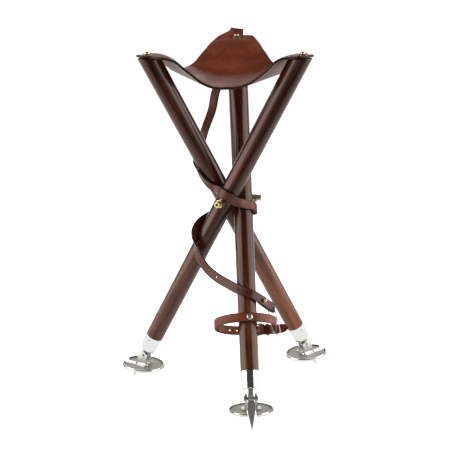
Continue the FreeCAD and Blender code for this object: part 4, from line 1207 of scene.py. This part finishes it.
@dataclass
class CarryStrap:
    """The carrying strap: down from the front leg's top, once round the crossing, to the ring.

    It is cut in two pieces behind the bundle of legs. Both its ends are held by the front leg.

    Attributes:
        width: The strap's width.
        thickness: Its thickness.
        fold_gap: Gap between the layers of the folded end.
        fold: Length of that fold.
        hole: Radius of the spare holes.
        ring_hole: Radius of the hole that the ring passes.
        ring_inset: How far before the strap's end that hole is.
        ring_drop: How far below its middle line.
        slit: Half the size of the slit for the stud: along, across and through.
        slit_inset: How far before the stud the slit's middle is.
        punch: How far the punches reach to each side of the strap.
        ring_punch: The same through both layers of the fold.
        step: The spacing of the strap's rows.
        ease: Passes of smoothing along it.
        parting: Where it is cut in two, as a share of its length.
        bend_start: How far above or below the bolt each piece would start to bend. Not used.
        upper_end: How far above the bolt the upper piece would follow the front leg alone. Not
            used.
        lower_end: How far below the bolt the lower piece would follow the front leg alone. Not
            used.
        hole_rows: Route rows that have the spare holes.
        stud_row: Route row that the stud is at.
    """

    width: float = 16.0
    thickness: float = 3.0
    fold_gap: float = 1.0
    fold: float = 23.0
    hole: float = 1.9
    ring_hole: float = 2.5
    ring_inset: float = 5.0
    ring_drop: float = 3.8
    slit: tuple[float, float, float] = (4.0, 0.35, 3.0)
    slit_inset: float = 5.0
    punch: float = 6.0
    ring_punch: float = 9.0
    step: float = 1.2
    ease: int = 12
    parting: float = 0.38
    bend_start: float = 30.0
    upper_end: float = 210.0
    lower_end: float = 125.0
    hole_rows: tuple[int, ...] = (31, 33, 35)
    stud_row: int = 39

    def stations(self) -> tuple[np.ndarray, np.ndarray]:
        """The route's stations: middles and facings, n x 3 each."""
        spots = [on_leg(*row, self.thickness / 2) for row in STRAP_ROUTE]
        return np.array([s[0] for s in spots]), np.array([s[1] for s in spots])

    def square(
        self, middles: np.ndarray, facings: np.ndarray, index: int
    ) -> tuple[np.ndarray, np.ndarray, np.ndarray]:
        """Directions along, out of the face and across at one station.

        Args:
            middles: The stations.
            facings: Their facings.
            index: Which station.

        Returns:
            The three unit vectors.
        """
        before, after = max(index - 1, 0), min(index + 1, len(middles) - 1)
        along = unit(middles[after] - middles[before])
        face = unit(facings[index] - along * facings[index].dot(along))
        return along, face, np.cross(along, face)

    def fold_back(
        self, middles: np.ndarray, facings: np.ndarray
    ) -> tuple[list[np.ndarray], list[np.ndarray]]:
        """The end turned back behind the strap: a half circle, then a run to past the stud.

        Args:
            middles: The route's stations.
            facings: Their facings.

        Returns:
            The added stations and facings.
        """
        radius = (self.thickness + self.fold_gap) / 2
        along, face, _ = self.square(middles, facings, len(middles) - 1)
        hub = middles[-1] - face * radius
        angles = np.radians([30, 60, 90, 120, 150, 180])
        outward = [face * math.cos(a) + along * math.sin(a) for a in angles]
        spots = [hub + way * radius for way in outward]
        for index in (len(middles) - 2, self.stud_row):
            _, face, _ = self.square(middles, facings, index)
            spots.append(middles[index] - face * 2 * radius)
            outward.append(-face)
        beyond = unit(spots[-1] - spots[-2]) * (self.fold - self.width)
        spots.append(spots[-1] + beyond)
        outward.append(outward[-1])
        return spots, outward

    def punches(self, middles: np.ndarray, facings: np.ndarray) -> list[bpy.types.Object]:
        """The spare holes, the ring's hole through the folded end and the stud's slit.

        Args:
            middles: The route's stations.
            facings: Their facings.

        Returns:
            The punches.
        """
        made = []
        for row in self.hole_rows:
            _, face, _ = self.square(middles, facings, row)
            made.append(cylinder_cutter(middles[row], face, self.hole, self.punch))
        along, face, across = self.square(middles, facings, len(middles) - 1)
        ring_at = middles[-1] - along * self.ring_inset + across * self.ring_drop
        made.append(cylinder_cutter(ring_at, face, self.ring_hole, self.ring_punch))
        along, _, across = self.square(middles, facings, self.stud_row)
        slit_at = middles[self.stud_row] - along * self.slit_inset
        axes = (along, across, np.cross(along, across))
        made.append(box_cutter(slit_at, axes, self.slit))
        return made

    def build(self, shop: Workshop) -> list[bpy.types.Object]:
        """Makes the upper and the lower piece.

        Args:
            shop: The finishes.

        Returns:
            Both pieces.
        """
        middles, facings = self.stations()
        more, more_faces = self.fold_back(middles, facings)
        band = Band(
            np.concatenate([middles, more]), np.concatenate([facings, more_faces]),
            self.width, self.thickness, step=self.step, ease=self.ease, eased=len(middles) - 3,
        )
        upper = band.build("carry_strap_upper", 0.0, self.parting)
        lower = band.build("carry_strap_lower", self.parting, 1.0)
        cut_out(lower, self.punches(middles, facings))
        for piece, way, reach in ((upper, 1, self.upper_end), (lower, -1, self.lower_end)):
            shop.coat(piece, BridleLeather(Hide.STRAP))
            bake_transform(piece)
            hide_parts("carry_strap")
        return [upper, lower]


@dataclass
class ClosingBelt:
    """The belt that holds the folded legs: a loop round the front leg with a buckle and keeper.

    The loop lies in a plane of its own: X to its right, Y behind the leg, Z along its width.

    Attributes:
        width: The belt's width.
        thickness: Its thickness.
        drop: How far down the front leg from the bolt the belt hangs.
        droop: Degrees by which the loop drops below square to the leg.
        gap: Gap between the leg and the front of the loop.
        half_span: Half the loop's length from left to right.
        depth: The loop's size from front to back.
        shift: How far the loop's middle lies to the left of the leg.
        lap: How far the lapped ends stand behind the rest of the loop.
        running: Clearance between layers that slide.
        eye: Inner radius of the fold round the buckle's bar.
        bar: Thickness of the buckle's bar.
        bar_place: How far to the right of the leg the bar is.
        buckle_length: The buckle's length.
        hole: Radius of the spare holes.
        hole_degrees: Where they are round the loop.
        slot: Width of the fold's slot for the buckle's tongue.
        slot_play: How far that slot reaches past the fold.
        slot_shift: How far its middle lies from the bar towards the fold.
        bar_rise: How far the buckle's far bar stands off the layer, as a share of its thickness.
        tongue_hole: Length of the hole that the tongue passes.
        tongue_half: Half that hole's width.
        tongue_shift: How much nearer to the bar its middle lies than the buckle's own line.
        punch: How far the round punches reach to each side.
        keeper_width: The keeper's width.
        keeper_wall: Its thickness.
        keeper_place: How far to the right of the buckle's bar it is.
        keeper_play: Its play over the doubled band.
        keeper_turn: Degrees by which it turns with the loop.
        keeper_sink: How far its middle lies in front of the middle of the two layers.
        keeper_corner: Radius of its loop's corners.
        keeper_ease: Bevel of its wall's edges.
        keeper_edge: Width of its dark cut edge.
        tail_shares: Width shares of the belt's pointed tail.
    """

    width: float = 16.0
    thickness: float = 2.8
    drop: float = 215.0
    droop: float = 8.0
    gap: float = 1.9
    half_span: float = 52.0
    depth: float = 69.8
    shift: float = 3.0
    lap: float = 1.0
    running: float = 0.3
    eye: float = 2.0
    bar: float = 2.2
    bar_place: float = 25.0
    buckle_length: float = 17.5
    hole: float = 1.5
    hole_degrees: tuple[float, float] = (-240.0, -255.0)
    slot: float = 4.4
    slot_play: float = 0.15
    slot_shift: float = 0.5
    bar_rise: float = 0.71
    tongue_hole: float = 10.0
    tongue_half: float = 1.65
    tongue_shift: float = 3.0
    punch: float = 5.0
    keeper_width: float = 6.0
    keeper_wall: float = 1.5
    keeper_place: float = 11.0
    keeper_play: float = 0.9
    keeper_turn: float = 9.0
    keeper_sink: float = 0.9
    keeper_corner: float = 1.6
    keeper_ease: float = 0.45
    keeper_edge: float = 0.8
    tail_shares: tuple[float, float] = (0.85, 0.12)

    @property
    def back(self) -> float:
        """How far behind the leg's axis the back of the loop stands."""
        front = -STANCE.radius(-self.drop) - self.gap - self.thickness / 2
        return front + self.depth

    @property
    def bar_depth(self) -> float:
        """How far behind the leg's axis the buckle's bar stands."""
        return self.back + self.lap - 1.5 * self.thickness - self.running - self.eye

    def aim(self, vectors: np.ndarray) -> np.ndarray:
        """Directions of the loop's plane, in the stool's frame."""
        axes = STANCE.axes(Side.FRONT) @ turn_about("X", -math.radians(self.droop))
        return vectors @ axes.T

    def place(self, points: np.ndarray) -> np.ndarray:
        """Points of the loop's plane, moved to where the belt hangs on the front leg."""
        hung = STANCE.origin(Side.FRONT) - STANCE.axes(Side.FRONT) @ UP * self.drop
        return hung + self.aim(points)

    def oval(self, degrees: float) -> tuple[float, float]:
        """A point of the loop's ellipse.

        Args:
            degrees: Its bearing from the ellipse's middle.

        Returns:
            How far right and how far back it lies.
        """
        ray = bearing_ray(degrees)
        right = self.half_span * ray[0] - self.shift
        return right, self.back - self.depth / 2 + self.depth / 2 * ray[1]

    def stations(self) -> tuple[np.ndarray, np.ndarray, np.ndarray]:
        """The band's stations in the loop's plane.

        From the flap at the buckle, round its bar, to the right end, once round an ellipse and on
        to the pointed tail, which overlaps the start on the outside.

        Returns:
            Middles, facings and width shares.
        """
        x, y = self.bar_place, self.bar_depth
        eye = self.eye + self.thickness / 2
        outer = self.back + self.lap
        inner = outer - self.thickness - self.running
        right = self.half_span - self.shift
        # Each row says how far right and back the station lies, and which way it faces.
        rows = [(x + 5.5, y - eye, 0, -1), (x, y - eye, 0, -1)]
        for degrees in (225, 180, 135, 90):
            ray = bearing_ray(degrees)
            rows.append((x + eye * ray[0], y + eye * ray[1], ray[0], ray[1]))
        rows += [
            (x + 8, inner - 0.4, 0, 1), (x + 14, inner - 1.6, 0.3, 1),
            (x + 19, inner - 5, 0.7, 0.7), (right - 1.8, inner - 10.6, 1, 0.5),
            (right - 0.2, inner - 18.6, 1, 0.1), (right, inner - 26.6, 1, 0),
        ]
        for degrees in range(0, -271, -15):
            ray = bearing_ray(degrees)
            rows.append((*self.oval(degrees), ray[0] / self.half_span, ray[1] * 2 / self.depth))
        rows += [
            (x - 13, outer - 0.1, 0, 1), (x, outer, 0, 1), (x + 8, outer - 0.3, 0.1, 1),
            (x + 14, outer - 1.2, 0.2, 1), (x + 25, outer - 4.0, 0.3, 1),
            (x + 36, outer - 7.5, 0.3, 1), (x + 41, outer - 9.3, 0.3, 1),
            (x + 47, outer - 11.3, 0.3, 1),
        ]
        table = np.array(rows, float)
        shares = np.ones(len(rows))
        shares[-len(self.tail_shares):] = self.tail_shares
        flat = np.zeros(len(rows))
        middles = np.stack([table[:, 0], table[:, 1], flat], axis=1)
        facings = unit(np.stack([table[:, 2], table[:, 3], flat], axis=1))
        return middles, facings, shares

    def cutters(self) -> list[bpy.types.Object]:
        """The slot for the buckle's tongue, the hole it passes and two spare holes.

        Returns:
            The punches.
        """
        axes = [self.aim(axis) for axis in np.eye(3)]
        reach = self.eye + self.thickness + self.slot_play
        bar = np.array([self.bar_place - self.slot_shift, self.bar_depth, 0.0])
        slot = (reach - self.slot_shift, reach, self.slot / 2)
        outer = self.back + self.lap
        # The buckle leans from its inner bar up to the far bar, on the outer layer.
        bar_out = outer + self.thickness / 2 + self.running + self.bar_rise * self.bar
        lean = math.asin((bar_out - self.bar_depth) / self.buckle_length)
        run = (outer - self.bar_depth) / math.tan(lean)
        hole = np.array([self.bar_place - run + self.tongue_shift, outer, 0.0])
        passed = (self.tongue_hole / 2, self.thickness, self.tongue_half)
        punches = [
            box_cutter(self.place(bar), axes, slot),
            box_cutter(self.place(hole), axes, passed),
        ]
        for degrees in self.hole_degrees:
            spot = np.array([*self.oval(degrees), 0.0])
            punches.append(cylinder_cutter(self.place(spot), axes[1], self.hole, self.punch))
        return punches

    def keeper(self) -> bpy.types.Object:
        """The keeper: a narrow leather loop, an oblong ring swept round the doubled band.

        Returns:
            The keeper.
        """
        corner, ease = self.keeper_corner, self.keeper_ease
        high = self.thickness + self.keeper_play + self.keeper_wall / 2
        wide = self.width / 2 + self.running + self.keeper_wall / 2
        angle = np.radians(np.arange(0, 91, 18))
        quarter = np.stack([np.sin(angle), np.cos(angle)], axis=1) * corner
        path = []
        for number, signs in enumerate([(1, 1), (1, -1), (-1, -1), (-1, 1)]):
            arc = quarter if number % 2 == 0 else quarter[::-1]
            path.append((arc + [wide - corner, high - corner]) * signs)
        path = np.concatenate(path)
        following = np.roll(path, -1, axis=0) - np.roll(path, 1, axis=0)
        normal = unit(np.stack([following[:, 1], -following[:, 0]], axis=1))
        half, wall = self.keeper_width / 2, self.keeper_wall / 2
        section = np.array([
            (-half, -wall + ease), (-half + ease, -wall),
            (half - ease, -wall), (half, -wall + ease),
            (half, wall - ease), (half - ease, wall),
            (-half + ease, wall), (-half, wall - ease),
        ])
        ring = path[:, None, :] - normal[:, None, :] * section[None, :, 1:]
        x = np.broadcast_to(section[None, :, 0], ring.shape[:2])
        sink = self.thickness / 2 + self.running / 2 + self.keeper_sink
        points = np.stack([x, ring[..., 1], ring[..., 0]], axis=-1).reshape(-1, 3)
        points = points @ turn_about("Z", -math.radians(self.keeper_turn)).T
        points = points + [self.bar_place + self.keeper_place, self.back + self.lap - sink, 0.0]
        rows, around = ring.shape[:2]
        row, column = np.meshgrid(np.arange(rows), np.arange(around), indexing="ij")
        after, beside = (row + 1) % rows, (column + 1) % around
        faces = np.stack([
            row * around + column, after * around + column,
            after * around + beside, row * around + beside,
        ], axis=-1).reshape(-1, 4)
        inside = half - self.keeper_edge
        near = np.clip((np.abs(section[:, 0]) - inside) / self.keeper_edge, 0, 1)
        edge = np.broadcast_to(near, (rows, around))
        return make_piece("belt_keeper_loop", self.place(points), faces, None, edge.ravel())

    def build(self, shop: Workshop) -> list[bpy.types.Object]:
        """Makes the band and its keeper, which ride on the front leg.

        Args:
            shop: The finishes.

        Returns:
            Both pieces.
        """
        middles, facings, shares = self.stations()
        band = Band(
            self.place(middles), self.aim(facings), self.width, self.thickness, shares, step=1.0
        ).build("closing_belt_band")
        cut_out(band, self.cutters())
        keeper = self.keeper()
        for piece, node in ((band, "closing_belt"), (keeper, "belt_keeper")):
            shop.coat(piece, BridleLeather(Hide.BELT))
            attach(piece, Side.FRONT.leg_body)
            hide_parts(node)
        return [band, keeper]


@dataclass
class Fittings:
    """The turned, stamped and cast solids, which keep their shapes and get their finishes.

    Attributes:
        metals: The metal of each kind of fitting, by how its name starts.
        warmth: How warm each leg's lower half is.
        plate_back: How far behind its pivot a plate's middle is.
        plate_face: Radius of a plate's satin face.
    """

    metals: dict[str, Alloy] = field(default_factory=lambda: {
        "ferrule_pin": Alloy.CROSS_PIN, "ferrule": Alloy.FERRULE, "spike": Alloy.SPIKE,
        "foot_plate": Alloy.PLATE, "foot_ear": Alloy.EAR, "pivot": Alloy.PIVOT,
        "hub_nut": Alloy.BRASS, "hub_washer": Alloy.BRASS, "hub_bolt": Alloy.BOLT,
        "seat_screw": Alloy.BRASS, "cup_washer": Alloy.BRASS, "strap_stud": Alloy.BRASS,
        "strap_screw": Alloy.BRASS, "strap_ring": Alloy.NICKEL, "belt_screw": Alloy.NICKEL,
        "buckle": Alloy.BUCKLE,
    })
    warmth: dict[Side, float] = field(default_factory=lambda: {
        Side.FRONT: 0.3, Side.REAR_RIGHT: 0.75, Side.REAR_LEFT: 0.3,
    })
    plate_back: float = 2.65
    plate_face: float = 35.6

    def face(self, side: Side) -> tuple[float, float, float]:
        """A plate's satin face, seen from above.

        Args:
            side: The plate's leg.

        Returns:
            The face's middle, X and Y, and its radius.
        """
        down = STANCE.lower_length + STANCE.pivot_drop
        reach = -down * math.sin(STANCE.lean) - self.plate_back
        spot = turn_about("Z", side.turn) @ np.array([STANCE.arm_offset, reach, 0.0])
        return float(spot[0]), float(spot[1]), self.plate_face

    def dress(self, nodes: dict[str, bpy.types.Object], shop: Workshop) -> int:
        """Puts wood on the legs and metal on every fitting.

        Args:
            nodes: The solids by name.
            shop: The finishes.

        Returns:
            How many solids were dressed.
        """
        finishes = {}
        for name in nodes:
            word = next((key for key in self.metals if name.startswith(key)), None)
            if word:
                finishes[name] = BareMetal(self.metals[word])
        for side in Side:
            finishes[f"leg_{side.word}"] = StainedHardwood(side, self.warmth[side])
            finishes[f"foot_plate_{side.word}"] = BareMetal(Alloy.PLATE, self.face(side))
        for name, finish in finishes.items():
            shop.coat(nodes[name], finish)
        return len(finishes)


@dataclass
class Studio:
    """A white floor, soft boxes at both sides and above, and the camera.

    Attributes:
        focal_pixels: The camera's focal length, in pixels of the photograph.
        frame_pixels: The photograph's width.
        sensor: The sensor's width.
        distance: From the camera to the point it is aimed at.
        elevation: How far the camera looks down, in radians.
        roll: How far it leans, in radians.
        pan: How far it stands to one side of the front, in radians.
        target: The point it is aimed at, before the pan.
        lamp_target: The point the lamps are aimed at, in metres.
        lamps: Each lamp's name, place and size in metres, and its power in watts.
        unseen: The lamp that has no reflection.
        floor_reach: Half the floor's width.
        floor_drop: How far the floor lies below the spikes, so that no two faces share a place.
        rooms: The room's strength as a light, as seen by the camera and as mirrored.
    """

    focal_pixels: float = 1544.27
    frame_pixels: float = 452.0
    sensor: float = 36.0
    distance: float = 2668.4
    elevation: float = 0.2553
    roll: float = -0.0161
    pan: float = -0.0422
    target: tuple[float, float, float] = (-9.2, 0.0, 298.35)
    lamp_target: tuple[float, float, float] = (0.0, 0.0, 0.32)
    lamps: tuple[tuple[str, tuple, tuple, float], ...] = (
        ("left_box", (-1.6, -0.25, 0.75), (2.0, 2.4), 38.0),
        ("right_box", (1.6, -0.3, 0.75), (2.0, 2.4), 40.0),
        ("top_box", (0.0, 0.9, 2.1), (1.4, 1.4), 15.0),
        ("back_box", (0.0, 2.2, 0.95), (3.0, 0.8), 13.0),
    )
    unseen: str = "top_box"
    floor_reach: float = 40000.0
    floor_drop: float = 0.4
    rooms: dict[str, float] = field(default_factory=lambda: {
        "lit": 0.22, "seen": 1.0, "mirrored": 0.055,
    })

    def camera(self) -> None:
        """Sets up the photograph's camera, which was fitted to the legs."""
        lens = bpy.data.cameras.new("camera")
        lens.sensor_width = self.sensor
        lens.lens = self.focal_pixels * self.sensor / self.frame_pixels
        lens.clip_start, lens.clip_end = 0.05, 200.0
        camera = bpy.data.objects.new("camera", lens)
        bpy.context.scene.collection.objects.link(camera)
        pan = Matrix.Rotation(self.pan, 4, "Z")
        tilt = Matrix.Rotation(math.pi / 2 - self.elevation, 4, "X")
        roll = Matrix.Rotation(self.roll, 4, "Z")
        back = Vector((0.0, -math.cos(self.elevation), math.sin(self.elevation)))
        spot = pan @ (Vector(self.target) + back * self.distance)
        camera.matrix_world = Matrix.Translation(spot * MM) @ (pan @ tilt @ roll)
        bpy.context.scene.camera = camera

    def soft_box(
        self,
        name: str,
        spot: tuple[float, float, float],
        size: tuple[float, float],
        power: float,
    ) -> None:
        """Adds an area lamp aimed at the middle of the stool.

        Args:
            name: The lamp's name.
            spot: Where it stands, in metres.
            size: Its width and height in metres.
            power: Its power in watts.
        """
        lamp = bpy.data.lights.new(name, "AREA")
        lamp.shape = "RECTANGLE"
        lamp.size, lamp.size_y = size
        lamp.energy = power
        holder = bpy.data.objects.new(name, lamp)
        holder.location = spot
        aim = Vector(self.lamp_target) - Vector(spot)
        holder.rotation_euler = aim.to_track_quat("-Z", "Y").to_euler()
        holder.visible_glossy = name != self.unseen
        bpy.context.scene.collection.objects.link(holder)

    def floor(self) -> None:
        """Adds a plain white floor, brightened for the camera. Its reflection is dark in front."""
        signs = np.array([(-1, -1, 0), (1, -1, 0), (1, 1, 0), (-1, 1, 0)], float)
        points = signs * self.floor_reach - UP * self.floor_drop
        floor = make_piece("floor", points, [(0, 1, 2, 3)])
        material = bpy.data.materials.new("white_paper_floor")
        tree = empty_tree(material)
        path = add_node(tree, "ShaderNodeLightPath").outputs
        paper = add_node(tree, "ShaderNodeBsdfDiffuse", {"Color": linear("#f2f2f2")}).outputs[0]
        glow = add_node(tree, "ShaderNodeEmission", {"Color": (1, 1, 1, 1), "Strength": 0.85})
        both = add_node(tree, "ShaderNodeAddShader", {0: paper, 1: glow.outputs[0]})
        place = add_node(tree, "ShaderNodeTexCoord").outputs["Object"]
        spot = add_node(tree, "ShaderNodeSeparateXYZ", {0: place}).outputs
        # What mirrors the floor sees it dark in front of the stool and half a metre to each side.
        aside = add_node(tree, "ShaderNodeMath", {0: spot["X"]}, operation="ABSOLUTE").outputs[0]
        narrow = add_node(tree, "ShaderNodeMapRange", {
            "Value": aside, "From Min": 0.45, "From Max": 1.05, "To Min": 1.0, "To Max": 0.0,
        }).outputs["Result"]
        ahead = add_node(tree, "ShaderNodeMapRange", {
            "Value": spot["Y"], "From Min": -0.55, "From Max": -0.3, "To Min": 1.0, "To Max": 0.0,
        }).outputs["Result"]
        dark = add_node(tree, "ShaderNodeMath", {0: narrow, 1: ahead}, operation="MULTIPLY")
        strength = add_node(tree, "ShaderNodeMapRange", {
            "Value": dark.outputs[0], "To Min": 1.05, "To Max": 0.06,
        }).outputs["Result"]
        dim = add_node(tree, "ShaderNodeEmission", {"Color": (1, 1, 1, 1), "Strength": strength})
        lit = add_node(tree, "ShaderNodeMixShader", {
            0: path["Is Camera Ray"], 1: paper, 2: both.outputs[0],
        })
        pick = add_node(tree, "ShaderNodeMixShader", {
            0: path["Is Glossy Ray"], 1: lit.outputs[0], 2: dim.outputs[0],
        })
        add_node(tree, "ShaderNodeOutputMaterial", {"Surface": pick.outputs[0]})
        floor.data.materials.append(material)

    def sky(self) -> None:
        """Makes an even room: white to the camera, pale as a light and dark in reflections."""
        world = bpy.data.worlds.new("studio")
        bpy.context.scene.world = world
        tree = empty_tree(world)
        path = add_node(tree, "ShaderNodeLightPath").outputs
        rooms = {
            word: add_node(tree, "ShaderNodeBackground", {
                "Color": (1, 1, 1, 1), "Strength": power,
            }).outputs[0]
            for word, power in self.rooms.items()
        }
        unseen = add_node(tree, "ShaderNodeMixShader", {
            0: path["Is Glossy Ray"], 1: rooms["lit"], 2: rooms["mirrored"],
        }).outputs[0]
        pick = add_node(tree, "ShaderNodeMixShader", {
            0: path["Is Camera Ray"], 1: unseen, 2: rooms["seen"],
        }).outputs[0]
        add_node(tree, "ShaderNodeOutputWorld", {"Surface": pick})

    def build(self) -> None:
        """Sets up the camera, the floor, the room and the lamps."""
        self.camera()
        self.floor()
        self.sky()
        for lamp in self.lamps:
            self.soft_box(*lamp)
        bpy.context.scene.view_settings.view_transform = "Standard"


def main() -> None:
    """Sets up the studio, dresses the stool's solids and builds its soft pieces."""
    logging.basicConfig(level=logging.INFO, format="%(name)s: %(message)s")
    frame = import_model()
    Studio().build()
    shop = Workshop()
    dressed = Fittings().dress(frame["nodes"], shop)
    LOG.info("dressed %d solids", dressed)
    for part in (LeatherSeat(), CarryStrap(), ClosingBelt()):
        for piece in part.build(shop):
            LOG.info("%s: %d faces", piece.name, len(piece.data.polygons))


if __name__ == "__main__":
    main()
